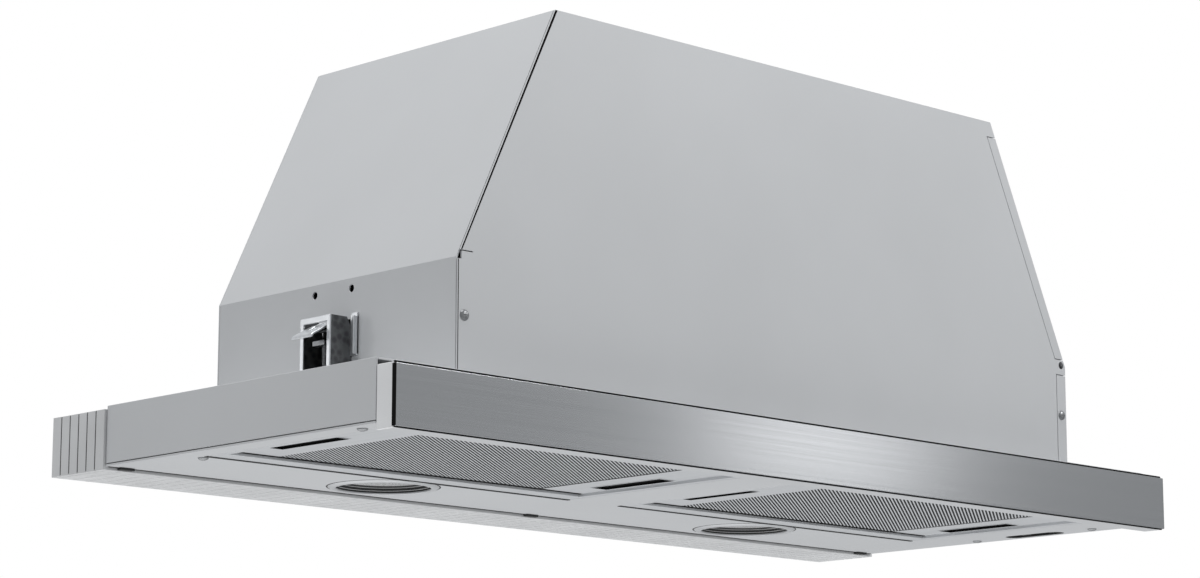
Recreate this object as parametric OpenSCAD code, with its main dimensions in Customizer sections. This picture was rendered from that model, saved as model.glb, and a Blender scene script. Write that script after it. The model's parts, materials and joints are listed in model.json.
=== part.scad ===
// Pull-out range hood: a folded steel body on a flat base.
// Its fascia slides out as a visor, above two grease filters that hinge down.
// X runs to the right along the fascia, Y to the wall behind and Z up.
// The origin is under the middle of the hood.

/* [Base] */
// Width across the base walls and the fascia
hood_w = 598; // [560:1:640]
// Depth of the strip behind the filters, which holds the lamps
rear_strip_d = 68.2; // [67:0.2:76]
// Height of the base's top face above the fascia's lower edge
deck_z = 35; // [34:0.5:38]
// Height of the underside panel's lower face
underside_z = 3.3; // [2.5:0.1:4]
// Thickness of the folded sheet steel
sheet_t = 1; // [0.7:0.1:1.2]
// Thin gap between neighbouring sheets
seam = 0.5; // [0.3:0.1:0.6]

/* [Fascia and visor] */
// Height of the fascia
fascia_h = 31.2; // [29:0.2:33]
// Depth of the fascia block
fascia_d = 14.2; // [12:0.2:14.2]
// Thickness of the brushed face plate
face_t = 1.2; // [0.8:0.1:1.5]
// Thickness of each end cap
cap_t = 2; // [1.5:0.1:3]
// Wall of the fascia's core profile
core_wall = 1.8; // [1.2:0.1:2.5]
// Height of the visor frame
visor_frame_h = 10; // [7:0.5:10]
// Width of the visor frame's bars
visor_bar_w = 14; // [10:0.5:16]
// Thickness of the visor's screen
screen_t = 3; // [2:0.5:4]

/* [Body] */
// Width of the body's upright lower part
body_lower_w = 478.8; // [470:0.2:490]
// Width of the body at its top
body_top_w = 349.2; // [330:0.2:360]
// Distance from the fascia's face to the body's front
body_front_y = 24.4; // [23:0.2:25]
// Distance from the body's back to the back of the base
body_rear_in = 14.6; // [12:0.2:16]
// Height where the sides start to slant
kink_z = 93.4; // [90:0.2:96]
// Height of the body's top
body_top_z = 230.9; // [230:0.2:240]

/* [Depth spacer] */
// How far the snap-off spacer is wider than the base at each side
spacer_over = 1.4; // [0.4:0.2:3]
// Depth of the spacer
spacer_d = 46; // [30:0.5:60]
// Height of the spacer's lower face
spacer_low_z = 1.5; // [1:0.1:2.5]
// Height of the spacer's top
spacer_top_z = 33.2; // [30:0.2:34]
// Number of strips that snap off
spacer_strips = 6; // [3:1:8]
// Wall of the spacer
spacer_wall = 1.6; // [1.2:0.1:2]

/* [Filters] */
// Plain panel left of the filters
margin_left = 14; // [13:0.5:18]
// Plain panel between the filters
margin_mid = 40; // [30:0.5:50]
// Plain panel right of the filters, which holds the controls
margin_right = 39; // [38:0.5:44]
// Distance from the fascia's face to the filters
filter_front_y = 20; // [19:0.5:21]
// Depth of a filter
filter_d = 142; // [135:0.5:142]
// Height of a filter cassette
filter_h = 9.7; // [8:0.1:11]
// Depth of the pressed recess in a filter
recess_d = 1.75; // [1:0.05:2.5]
// Sheet of a filter cassette
filter_t = 1; // [0.8:0.1:1.2]
// Plain margin beside the mesh
mesh_margin = 35; // [32:0.5:40]
// Length of a finger slot
grip_len = 52; // [40:1:60]
// Width of a finger slot
grip_w = 11; // [10:0.5:13]
// Depth of a finger slot's cup
grip_d = 7; // [5:0.1:7.2]

/* [Lamps and controls] */
// Distance between the lamp centres
lamp_span = 284; // [260:1:300]
// Distance from the filters to the lamp centres
lamp_back = 31.4; // [31:0.2:34]
// Radius of a lamp's bezel
bezel_r = 30.5; // [29:0.5:31]
// Radius of a lamp's neck
lamp_neck_r = 27.6; // [25:0.1:28]
// Distance from the fascia's face to the middle of the controls
control_y = 89.5; // [85:0.5:95]
// Distance from the hood's right edge to the middle of the controls
control_inset = 9.6; // [9:0.1:10]
// Length of the control recess
control_len = 42; // [38:0.5:46]
// Width of the control recess
control_w = 12; // [11:0.1:12.4]

/* [Blower and outlet] */
// Outer radius of the outlet collar
collar_r = 59.5; // [58:0.1:60]
// Height of the collar above the body
collar_h = 18; // [14:0.5:20]
// Wall of the collar
collar_wall = 2.5; // [2:0.1:3]
// Distance from the body's back to the outlet's centre
outlet_in = 72.6; // [71:0.1:75]
// Radius of the impeller
impeller_r = 60; // [55:0.5:61]
// Length of the impeller
impeller_len = 100; // [80:1:104]
// Number of blades
blade_count = 30; // [20:1:36]
// Half of the scroll's width
scroll_half = 60; // [58:0.5:64]
// Wall of the scroll
scroll_wall = 2; // [1.5:0.1:2.5]
// Radius of the fan inlets
inlet_r = 50; // [46:0.5:52]
// Radius of the motor
motor_r = 42; // [38:0.5:44]
// Length of the motor
motor_len = 62; // [50:1:70]
// Radius of the motor's shaft
shaft_r = 4; // [3:0.1:5]

/* [Side clips] */
// How far a clip stands off the body's side
clip_out = 14.6; // [13:0.1:16]
// Width of a clip
clip_w = 23.7; // [23:0.1:26]
// Height of a clip's top
clip_top_z = 73; // [72:0.5:75]
// Radius of the fixing holes above a clip
side_hole_r = 2; // [1.5:0.1:2.5]
// Distance between the fixing holes
side_hole_span = 29.2; // [25:0.2:32]

/* [Hidden] */
$fn = 64;
// One overrun serves every cut
cut = 2;

// Flat faces in one body that would touch keep this gap
touch = 0.2;
// Bodies that move past each other keep this gap
slip = 0.5;

// Where the base ends, and the overall depth with the spacer behind it
filter_rear_y = filter_front_y + filter_d;
base_rear_y = filter_rear_y + rear_strip_d;
overall_d = base_rear_y + touch + touch + spacer_d;
half_w = hood_w / 2;
wall_in = half_w - sheet_t;
panel_top_z = underside_z + sheet_t;
base_front_y = fascia_d + seam;

// Body outline
body_rear_y = base_rear_y - body_rear_in;
outlet_y = body_rear_y - outlet_in;
body_half = body_lower_w / 2;
top_half = body_top_w / 2;
slope = (body_half - top_half) / (body_top_z - kink_z);
// Thickness of a slanted sheet, measured level
slant_t = sheet_t * sqrt(1 + slope * slope);
skin_y = body_front_y + sheet_t + seam;
foot_w = 12;
lip_end_gap = 5;
lip_kink_gap = 5.4;
lip_low_z = deck_z + lip_end_gap;
lip_high_z = kink_z - lip_kink_gap;

// Right side's front flanges
flange_w = 7.2;
flange_low_w = 8.1;
flange_kink_gap = 4.3;
flange_top_gap = 9.3;
flange_z0 = kink_z + flange_kink_gap;
flange_z1 = body_top_z - flange_top_gap;
relief_r = 2.2;
relief_in = 3.8;
relief_up = 0.6;
// Left kink's notch and slit
notch_w = 2.4;
notch_h = 4.7;
slit_h = 0.6;
slit_len = 7.3;

// Screws
screw_head_r = 2.8;
screw_head_h = 1.3;
shank_r = 1.5;
shank_len = 5;
shank_hole_r = shank_r + touch;
cover_screw_in = 4.4;
cover_screw_up = 29.3;
cover_screw_z = deck_z + cover_screw_up;
// Screws in the underside: distance from the near side edge, then from the fascia's face
under_screw_in_a = 9.5;
under_screw_in_b = 11.8;
under_screw_in_c = 7.7;
under_screw_in_d = 16.3;
under_screw_span = 45.2;
under_screw_front = 13.3;
under_screw_back = 6.9;
under_screws_right = [[under_screw_in_a, control_y + under_screw_span],
    [under_screw_in_b, control_y - under_screw_span]];
under_screws_left = [[under_screw_in_c, filter_front_y + under_screw_front],
    [under_screw_in_d, filter_rear_y + under_screw_back]];

// Deck opening
deck_ledge = 3;
deck_open_half = body_half - foot_w - deck_ledge;
deck_open_y0 = body_front_y + foot_w;
deck_open_y1 = filter_rear_y - deck_ledge;
lead_hole_r = 4;

// Filters
filter_w = (hood_w - margin_left - margin_mid - margin_right) / 2;
filter_x_left = -half_w + margin_left;
filter_x_right = half_w - margin_right - filter_w;
filter_side_gap = 0.5;
filter_rear_gap = 0.8;
filter_top_z = underside_z + filter_h;
rim_side = 4;
rim_front = 4;
rim_rear = 12;
window_x0 = mesh_margin;
window_x1 = filter_w - mesh_margin;
window_y0 = filter_front_y + rim_front + rim_front;
window_y1 = filter_rear_y - rim_rear;
grip_in = 13;
grip_back = 8;
grip_y = filter_front_y + filter_d / 2 + grip_back;
hook_w = 30;
hook_d = 4;
hook_t = 1;
hook_z = panel_top_z + slip;
tongue_w = 12;
tongue_h = 7;
tongue_t = 0.6;

// Lamps
neck_wall = 1.6;
bezel_proud = 1.3;
bezel_low_z = underside_z - bezel_proud;
bezel_bevel = 2.2;
neck_rise = 4.7;
lens_sunk = 2.7;
neck_top_z = panel_top_z + neck_rise;
lens_z = underside_z + lens_sunk;
lens_t = 1.4;
lamp_y = filter_rear_y + lamp_back;
lamp_body_h = 7;
lamp_fin_d = 1.2;
lamp_fins = 3;
panel_lamp_r = lamp_neck_r + touch;
lamp_top_z = neck_top_z + lamp_body_h;

// Controls
control_x = half_w - control_inset;
control_wall = 1;
control_sunk = 5.2;
control_floor_z = underside_z + control_sunk;
control_top_z = control_floor_z + control_wall;
knob_w = 6;
knob_len = 7;
knob_sunk = 0.7;
knob_low_z = underside_z + knob_sunk;
stem_w = 2;
stem_slot_w = stem_w + slip + slip;
stem_rise = 1.4;
stem_top_z = control_top_z + stem_rise;
fan_travel = 10;
light_travel = 6;
knob_end = 4;
fan_y0 = control_y - control_len / 2 + knob_end;
light_y0 = control_y + control_len / 2 - knob_end - knob_len - light_travel;
module_wall = 1;
module_over = 3;
module_foot_end = 3.8;
module_half_len = control_len / 2 + module_over;
module_foot_y0 = control_y - under_screw_span - module_foot_end;
module_foot_y1 = control_y + under_screw_span + module_foot_end;

// Rails
rail_room = 12;
rail_t = 1;
rail_h = 15;
rail_drop = 12;
rail_z = deck_z - rail_drop;
module_under = 1.1;
module_top_z = rail_z - rail_h / 2 - module_under;
rail_lip = 8.5;
rail_web_gap = 0.8;
rail_inner_gap = 1.3;
rail_y0 = filter_front_y;
rail_end_gap = 18.2;
rail_len = base_rear_y - rail_end_gap - rail_y0;
mid_h = rail_h - 2 * rail_t - 2 * slip;
inner_h = mid_h - 2 * rail_t - 2 * slip;
visor_half = wall_in - rail_room;

// Visor
visor_over = 9;
visor_rear_y = filter_rear_y + visor_over;
visor_drop = 5;
visor_z1 = deck_z - visor_drop;
visor_z0 = visor_z1 - visor_frame_h;
screen_rest_t = 1.5;
screen_rest_w = 3;
magnet_in = 86;
magnet_x = visor_half - magnet_in;
magnet_w = 12;
magnet_d = 6;
magnet_h = 2.4;
sensor_w = 12;
sensor_d = 16;
sensor_gap = 2;

// Fascia
core_x = half_w - cap_t - touch;
core_lip = 0.6;
core_gap = 1;
edge_reveal = 0.5;
buffer_w = 5;
buffer_d = 3;
buffer_h = 2.2;

// Spacer
spacer_y0 = base_rear_y + touch + touch;
spacer_half = half_w + spacer_over;
strip_pitch = spacer_d / spacer_strips;
score_w = 0.8;
score_d = 0.7;
clip_tab_w = 9;
clip_tab_d = 3;
clip_tab_h = 1.3;
clip_tab_in = 12;
clip_tab_xs = [-half_w + clip_tab_in, 0, half_w - clip_tab_in];

// Outlet
collar_in_r = collar_r - collar_wall;
ring_flange_w = 9;
ring_flange_t = 2;
top_hole_r = collar_r + touch;
flap_t = 1.2;
flap_gap = 0.6;
flap_rise = 4;
flap_z = body_top_z + flap_rise;
flap_knuckle_r = 2;
flap_pin_r = 1.2;
flap_pin_fit = 0.05;
flap_axis_gap = 2.6;
stop_w = 1.2;

// Blower
fan_forward = 31;
fan_height = 90;
fan_y = outlet_y - fan_forward;
fan_z = deck_z + fan_height;
tongue_a = 115;
volute_gap = 6;
volute_reach = 30.5;
volute_start_r = impeller_r + volute_gap;
volute_end_r = collar_r + volute_reach;
volute_steps = 24;
neck_in = volute_start_r * cos(tongue_a);
neck_top = body_top_z - sheet_t - touch - fan_z;
blade_len = 11;
blade_t = 1;
blade_tilt = 28;
blade_in_r = impeller_r - blade_len;
wheel_ring_t = 2;
hub_t = 3;
hub_r = 12;
hub_len = 24;
shaft_fit = 0.05;
motor_gap = 4;
motor_x1 = -scroll_half - motor_gap;
motor_x0 = motor_x1 - motor_len;
motor_groove_w = 2;
motor_groove_d = 1.5;
motor_boss_r = 14;
motor_boss_len = 3;
bracket_band = 3;
bracket_band_len = 12;
bracket_arm_w = 16;
bracket_reach = 20;
bracket_t = 2.5;
bracket_back = 26;
bracket_mid_x = motor_x1 - bracket_back;

// Electrics
box_side_gap = 49.4;
box_cap_gap = 7;
box_x1 = body_half - box_side_gap;
box_front_gap = 4;
box_rear_gap = 3;
box_y0 = filter_rear_y + box_front_gap;
box_y1 = body_rear_y - sheet_t - box_rear_gap;
box_h = 40;
box_wall = 2;
lid_t = 2;
lid_inset = 3;
board_t = 1.6;
board_lift = 5;
relay_place_shares = [0.15, 0.5, 0.8];
relay_w = 14;
relay_d = 18;
relay_h = 14;
cap_r = 14;
cap_h = 50;
cap_foot_r = 17;
cap_scroll_gap = 2;
cap_x = scroll_half + cap_scroll_gap + cap_r;
cap_y = filter_rear_y + cap_foot_r;
box_x0 = cap_x + cap_foot_r + box_cap_gap;
cap_foot_t = 2;
cap_stud_r = 3;
cap_stud_h = 6;
terminal_gap = 6;
terminal_x0 = box_x1 + terminal_gap;
terminal_w = 26;
terminal_d = 24;
terminal_h = 15;
terminal_rear_gap = 8;
terminal_y0 = body_rear_y - terminal_rear_gap - terminal_d;
terminal_ways = 3;
terminal_hole_r = 2.4;
terminal_hole_d = 8;
gland_x = terminal_x0 + terminal_w / 2;
gland_rise = 27;
gland_z = deck_z + gland_rise;
gland_r = 8;
gland_nut_r = 11;
gland_bore_r = 4.5;
gland_out = 14;
gland_nut_t = 6;
gland_in = 8;
lead_r = 2;
loom_r = 3;
loom_rear_gap = 9.6;
loom_rise = 5;
loom_y = body_rear_y - loom_rear_gap;
loom_z = deck_z + loom_rise;
loom_x_end = -lamp_span / 2;
motor_lead_in = 14;
motor_lead_down = 5;
motor_lead_x = motor_x0 + motor_lead_in;
motor_lead_z = fan_z - motor_lead_down;
lead_end_gap = 0.4;
switch_lead_out = 14;
switch_lead_back = 6;
switch_lead_rise = 6.7;
switch_lead_x = box_x1 + switch_lead_out;
switch_lead_y = visor_rear_y + switch_lead_back;
switch_lead_z = panel_top_z + switch_lead_rise;

// Side clips
clip_y0 = 104.7;
clip_t = 1;
clip_front_strip = 3.4;
clip_rear_strip = 2.6;
clip_window_top = 3.2;
clip_window_foot = 4;
clip_window_z0 = deck_z + clip_window_foot;
clip_lip_w = 5.2;
clip_lip_out = 3.4;
clip_lip_rise = 17.8;
clip_lip_z0 = deck_z + clip_lip_rise;
clip_flange_top = 2;
lever_t = 1.6;
lever_play = 0.9;
pivot_in = 4.1;
pivot_down = 3.7;
pivot_r = 1.5;
pivot_fit = 0.05;
lever_knee_out = 13.4;
lever_knee_down = 5.6;
lever_tip_out = 23;
lever_tip_down = 11.4;
barrel_r = 2.6;
clip_screw_r = 2;
clip_screw_out = 8;
clip_screw_y = 9.6;
clip_nut_h = 2.6;
clip_nut_w = 9.4;
clip_nut_down = 12;
side_hole_rise = 53.1;
side_hole_back = 15.7;
side_hole_z = deck_z + side_hole_rise;
side_hole_y = clip_y0 + side_hole_back;
pivot_z = clip_top_z - pivot_down;

// Shared placing helpers
module framed() translate([0, -overall_d / 2, 0]) children();
module on_side(side) mirror([side < 0 ? 1 : 0, 0, 0]) children();
module block(low, high) translate(low) cube(high - low);
module rod_x(r, x0, x1, y, z) translate([x0, y, z]) rotate([0, 90, 0]) cylinder(r = r, h = x1 - x0);
module rod_y(r, x, y0, y1, z) translate([x, y0, z]) rotate([-90, 0, 0]) cylinder(r = r, h = y1 - y0);
module rod_z(r, x, y, z0, z1) translate([x, y, z0]) cylinder(r = r, h = z1 - z0);
module ball(r, p) translate(p) sphere(r = r);
// A drawing in X and Z, given thickness along Y
module upright_xz(y0, y1) translate([0, y1, 0]) rotate([90, 0, 0]) linear_extrude(y1 - y0) children();
// A drawing in Y and Z, given thickness along X
module upright_yz(x0, x1) translate([x0, 0, 0]) rotate([90, 0, 90]) linear_extrude(x1 - x0) children();

function half_at(z) = z < kink_z ? body_half : body_half - (z - kink_z) * slope;

// Body panels
module body_outline() {
    polygon([[-body_half, deck_z], [-body_half, kink_z], [-top_half, body_top_z],
        [top_half, body_top_z], [body_half, kink_z], [body_half, deck_z]]);
}

module side_band() {
    inner_kink_z = kink_z - (slant_t - sheet_t) / slope;
    polygon([[body_half, deck_z], [body_half, kink_z], [top_half, body_top_z],
        [top_half - slant_t, body_top_z], [body_half - sheet_t, inner_kink_z],
        [body_half - sheet_t, deck_z]]);
}

module flange_upper(grow, over) {
    z0 = flange_z0 - grow;
    z1 = flange_z1 + grow;
    polygon([[half_at(z0) + over, z0], [half_at(z1) + over, z1],
        [half_at(z1) - flange_w - grow, z1], [half_at(z0) - flange_w - grow, z0]]);
}

module flange_lower(grow, over) {
    translate([body_half - flange_low_w - grow, deck_z - over])
        square([flange_low_w + grow + over, lip_high_z - deck_z + grow + over]);
}

module screw_holes_front() {
    for (side = [-1, 1])
        rod_y(shank_hole_r, side * (body_half - cover_screw_in), body_front_y - cut, skin_y + sheet_t + cut,
            cover_screw_z);
}

module front_cover() framed() color("silver") difference() {
    upright_xz(body_front_y, body_front_y + sheet_t) difference() {
        body_outline();
        flange_upper(seam, cut);
        flange_lower(seam, cut);
        translate([-body_half - cut, kink_z - notch_h / 4])
            square([notch_w + cut, notch_h]);
        translate([-body_half + notch_w, kink_z + notch_h * 3 / 4 - slit_h])
            square([slit_len, slit_h]);
        translate([body_half - relief_in, kink_z + relief_up])
            circle(r = relief_r);
    }
    screw_holes_front();
}

module side_foot(y0, y1) {
    block([body_half - foot_w, y0, deck_z], [body_half - sheet_t / 2, y1, deck_z + sheet_t]);
}

module side_fixing_holes() {
    for (end = [-1, 1])
        rod_x(side_hole_r, body_half - cut - sheet_t, body_half + cut,
            side_hole_y + end * side_hole_span / 2, side_hole_z);
}

module side_panel_left() framed() color("gainsboro") on_side(-1) difference() {
    union() {
        upright_xz(skin_y, body_rear_y - sheet_t - touch)
            side_band();
        side_foot(skin_y, body_rear_y - sheet_t - touch);
        block([body_half - foot_w, skin_y, lip_low_z],
            [body_half - sheet_t / 2, skin_y + sheet_t, lip_high_z]);
    }
    side_fixing_holes();
    screw_holes_front();
}

module side_panel_right() framed() color("gainsboro") difference() {
    union() {
        upright_xz(skin_y, body_rear_y - sheet_t - touch)
            side_band();
        side_foot(skin_y, body_rear_y - sheet_t - touch);
        upright_xz(body_front_y, body_front_y + sheet_t) {
            flange_upper(0, 0);
            flange_lower(0, 0);
        }
        upright_xz(body_front_y, skin_y + sheet_t) {
            intersection() {
                side_band();
                flange_upper(0, 0);
            }
            intersection() {
                side_band();
                flange_lower(0, 0);
            }
        }
    }
    side_fixing_holes();
    screw_holes_front();
}

module rear_panel() framed() color("silver") difference() {
    upright_xz(body_rear_y - sheet_t, body_rear_y)
        body_outline();
    rod_y(gland_r + touch, gland_x, body_rear_y - sheet_t - cut, body_rear_y + cut, gland_z);
}

module top_panel() framed() color("silver") difference() {
    block([-top_half + slant_t + touch, body_front_y + sheet_t + touch, body_top_z - sheet_t],
        [top_half - slant_t - touch, body_rear_y - sheet_t - touch, body_top_z]);
    rod_z(top_hole_r, 0, outlet_y, body_top_z - sheet_t - cut, body_top_z + cut);
}

// Base
module base_wall() {
    block([wall_in, base_front_y, panel_top_z + seam], [half_w, base_rear_y, deck_z]);
}
module base_wall_left() framed() color("gainsboro") on_side(-1) base_wall();
module base_wall_right() framed() color("gainsboro") on_side(1) base_wall();

module base_deck() framed() color("silver") difference() {
    union() {
        block([-wall_in + touch, base_front_y, deck_z - sheet_t], [wall_in - touch, base_rear_y, deck_z]);
        block([-wall_in + touch, base_rear_y - sheet_t, panel_top_z + touch],
            [wall_in - touch, base_rear_y, deck_z - sheet_t / 2]);
    }
    block([-deck_open_half, deck_open_y0, deck_z - sheet_t - cut],
        [deck_open_half, deck_open_y1, deck_z + cut]);
    for (side = [-1, 1])
        rod_z(lead_hole_r, side * lamp_span / 2, loom_y, deck_z - sheet_t - cut, deck_z + cut);
    rod_z(lead_hole_r, switch_lead_x, switch_lead_y, deck_z - sheet_t - cut, deck_z + cut);
}

module filter_hole(x0) {
    block([x0 - filter_side_gap, filter_front_y - filter_side_gap, underside_z - cut],
        [x0 + filter_w + filter_side_gap, filter_rear_y + filter_rear_gap, panel_top_z + cut]);
}

module filter_tongues(x0) {
    for (place_share = [0.2, 0.8])
        translate([x0 + filter_w * place_share - tongue_w / 2, filter_rear_y + filter_rear_gap, underside_z])
            cube([tongue_w, tongue_t, sheet_t + tongue_h]);
}

module control_oval(r, len) {
    translate([control_x, control_y]) {
        square([2 * r, len - 2 * r], center = true);
        for (end = [-1, 1])
            translate([0, end * (len / 2 - r)])
                circle(r = r);
    }
}

module screw_holes_under() {
    for (place = under_screws_right)
        rod_z(shank_hole_r, half_w - place.x, place.y, underside_z - cut, panel_top_z + cut);
    for (place = under_screws_left)
        rod_z(shank_hole_r, -half_w + place.x, place.y, underside_z - cut, panel_top_z + cut);
}

module underside_panel() framed() color("lightgray") {
    difference() {
        block([-half_w, base_front_y, underside_z], [half_w, base_rear_y, panel_top_z]);
        filter_hole(filter_x_left);
        filter_hole(filter_x_right);
        for (side = [-1, 1])
            rod_z(panel_lamp_r, side * lamp_span / 2, lamp_y, underside_z - cut, panel_top_z + cut);
        translate([0, 0, underside_z - cut])
            linear_extrude(sheet_t + 2 * cut)
                control_oval(control_w / 2, control_len);
        screw_holes_under();
    }
    filter_tongues(filter_x_left);
    filter_tongues(filter_x_right);
}

// Depth spacer
module depth_spacer() framed() color("gainsboro") difference() {
    block([-spacer_half, spacer_y0, spacer_low_z], [spacer_half, spacer_y0 + spacer_d, spacer_top_z]);
    for (strip = [0 : spacer_strips - 1])
        translate([0, spacer_y0 + strip * strip_pitch + spacer_wall / 2, spacer_low_z + spacer_wall])
            block([-spacer_half + spacer_wall, 0, 0],
                [spacer_half - spacer_wall, strip_pitch - spacer_wall, spacer_top_z]);
    for (strip = [1 : spacer_strips - 1])
        translate([0, spacer_y0 + strip * strip_pitch - score_w / 2, 0]) {
            for (side = [-1, 1])
                on_side(side)
                    block([spacer_half - score_d, 0, spacer_low_z - cut],
                        [spacer_half + cut, score_w, spacer_top_z + cut]);
            block([-spacer_half - cut, 0, spacer_low_z - cut],
                [spacer_half + cut, score_w, spacer_low_z + score_d]);
        }
}

module spacer_clips() framed() color("dimgray") {
    for (x = clip_tab_xs)
        block([x - clip_tab_w / 2, base_rear_y - clip_tab_d, underside_z - clip_tab_h],
            [x + clip_tab_w / 2, spacer_y0 - touch, underside_z]);
}

// Outlet
module flap_bores(y_sign) {
    rod_x(flap_pin_r + flap_pin_fit, -collar_r - cut, collar_r + cut,
        outlet_y + y_sign * flap_axis_gap, flap_z);
}

module outlet_ring() framed() color("dimgray") difference() {
    union() {
        rod_z(collar_r, 0, outlet_y, body_top_z - sheet_t, body_top_z + collar_h);
        rod_z(collar_r + ring_flange_w, 0, outlet_y, body_top_z, body_top_z + ring_flange_t);
    }
    rod_z(collar_in_r, 0, outlet_y, flap_z - flap_t, body_top_z + collar_h + cut);
    rod_z(collar_in_r - stop_w, 0, outlet_y, body_top_z - sheet_t - cut, body_top_z + collar_h + cut);
    flap_bores(-1);
    flap_bores(1);
}

// A half disc that opens towards +Y, with its knuckle and pins
module flap_half() {
    pin_end = sqrt(collar_r * collar_r - flap_axis_gap * flap_axis_gap) - collar_wall / 3;
    knuckle_end = sqrt(collar_in_r * collar_in_r - flap_axis_gap * flap_axis_gap) - flap_gap;
    translate([0, outlet_y, flap_z - flap_t / 2])
        intersection() {
            cylinder(r = collar_in_r - flap_gap, h = flap_t);
            block([-collar_in_r, flap_axis_gap, -cut], [collar_in_r, collar_in_r, flap_t + cut]);
        }
    rod_x(flap_knuckle_r, -knuckle_end + flap_knuckle_r, knuckle_end - flap_knuckle_r,
        outlet_y + flap_axis_gap, flap_z);
    rod_x(flap_pin_r, -pin_end, pin_end, outlet_y + flap_axis_gap, flap_z);
}
module flap_rear() framed() color("gray") flap_half();
module flap_front() framed() color("gray") translate([0, 2 * outlet_y, 0]) mirror([0, 1, 0]) flap_half();

// Blower
function volute_r(a) = volute_start_r + (volute_end_r - volute_start_r) * (a - tongue_a) / (360 - tongue_a);
function volute_a(step) = tongue_a + (360 - tongue_a) * step / volute_steps;

module volute(grow) {
    spiral = [for (step = [0 : volute_steps])
        (volute_r(volute_a(step)) + grow) * [cos(volute_a(step)), sin(volute_a(step))]];
    polygon(concat(spiral, [[volute_end_r + grow, neck_top], [neck_in - grow, neck_top]]));
}

module scroll_part() translate([0, fan_y, fan_z]) {
    upright_yz(0, scroll_half - scroll_wall) difference() {
        volute(scroll_wall);
        volute(0);
    }
    upright_yz(scroll_half - scroll_wall, scroll_half) difference() {
        volute(scroll_wall);
        circle(r = inlet_r);
    }
}
module scroll_left() framed() color("darkgray") on_side(-1) scroll_part();
module scroll_right() framed() color("darkgray") on_side(1) scroll_part();

module wheel_slice(r_in, r_out, x0, x1) {
    upright_yz(x0, x1) difference() {
        circle(r = r_out);
        circle(r = r_in);
    }
}

module impeller() framed() color("dimgray") translate([0, fan_y, fan_z]) {
    end_x = impeller_len / 2;
    wheel_slice(blade_in_r, impeller_r, -end_x, -end_x + wheel_ring_t);
    wheel_slice(blade_in_r, impeller_r, end_x - wheel_ring_t, end_x);
    wheel_slice(shaft_r, impeller_r, -hub_t / 2, hub_t / 2);
    wheel_slice(shaft_r, hub_r, -hub_len / 2, hub_len / 2);
    for (index = [0 : blade_count - 1])
        rotate([index * 360 / blade_count, 0, 0])
            translate([0, (blade_in_r + impeller_r) / 2, 0])
                rotate([blade_tilt, 0, 0])
                    cube([impeller_len - wheel_ring_t, blade_len - blade_t, blade_t], center = true);
}

module motor_shaft() framed() color("silver") {
    rod_x(shaft_r, motor_x0 + motor_groove_w, hub_len, fan_y, fan_z);
}

module motor() framed() color("gray") difference() {
    union() {
        rod_x(motor_r, motor_x0, motor_x1, fan_y, fan_z);
        rod_x(motor_boss_r, motor_x0, motor_x1 + motor_boss_len, fan_y, fan_z);
    }
    rod_x(shaft_r + shaft_fit, motor_x0 - cut, motor_x1 + motor_boss_len + cut, fan_y, fan_z);
    for (place_share = [0.12, 0.2, 0.28])
        translate([motor_x0 + motor_len * place_share, fan_y, fan_z])
            upright_yz(0, motor_groove_w) difference() {
                circle(r = motor_r + cut);
                circle(r = motor_r - motor_groove_d);
            }
}

module motor_bracket() framed() color("silver") translate([0, fan_y, fan_z]) {
    band_in = motor_r + touch;
    band_out = band_in + bracket_band;
    reach = motor_r + bracket_reach;
    wheel_slice(band_in, band_out,
        bracket_mid_x - bracket_band_len / 2, bracket_mid_x + bracket_band_len / 2);
    for (turn = [90, 210, 330])
        rotate([turn, 0, 0]) {
            block([bracket_mid_x - bracket_t / 2, band_out - bracket_t / 2, -bracket_arm_w / 2],
                [bracket_mid_x + bracket_t / 2, reach, bracket_arm_w / 2]);
            block([bracket_mid_x - bracket_t / 2, reach - bracket_t, -bracket_arm_w / 2],
                [-scroll_half - touch, reach, bracket_arm_w / 2]);
        }
}

// Electrics
module capacitor() framed() color("lightgray") {
    rod_z(cap_foot_r, cap_x, cap_y, deck_z, deck_z + cap_foot_t);
    rod_z(cap_r, cap_x, cap_y, deck_z, deck_z + cap_h);
    rod_z(cap_stud_r, cap_x, cap_y, deck_z, deck_z + cap_h + cap_stud_h);
}

module control_box() framed() color("dimgray") difference() {
    block([box_x0, box_y0, deck_z], [box_x1, box_y1, deck_z + box_h]);
    block([box_x0 + box_wall, box_y0 + box_wall, deck_z + box_wall],
        [box_x1 - box_wall, box_y1 - box_wall, deck_z + box_h + cut]);
}

module control_box_lid() framed() color("gray") {
    z = deck_z + box_h;
    block([box_x0, box_y0, z], [box_x1, box_y1, z + lid_t]);
    block([box_x0 + box_wall + touch, box_y0 + box_wall + touch, z - lid_inset],
        [box_x1 - box_wall - touch, box_y1 - box_wall - touch, z]);
}

module circuit_board() framed() color("darkgreen") {
    x0 = box_x0 + box_wall + touch;
    y0 = box_y0 + box_wall + touch;
    x1 = box_x1 - box_wall - touch;
    y1 = box_y1 - box_wall - touch;
    z = deck_z + box_wall;
    block([x0, y0, z + board_lift], [x1, y1, z + board_lift + board_t]);
    for (x = [x0, x1 - board_lift])
        block([x, y0, z], [x + board_lift, y0 + board_lift, z + board_lift]);
    for (place_share = relay_place_shares)
        translate([x0 + (x1 - x0 - relay_w) * place_share, y1 - relay_d - board_lift, z + board_lift])
            cube([relay_w, relay_d, relay_h]);
}

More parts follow.
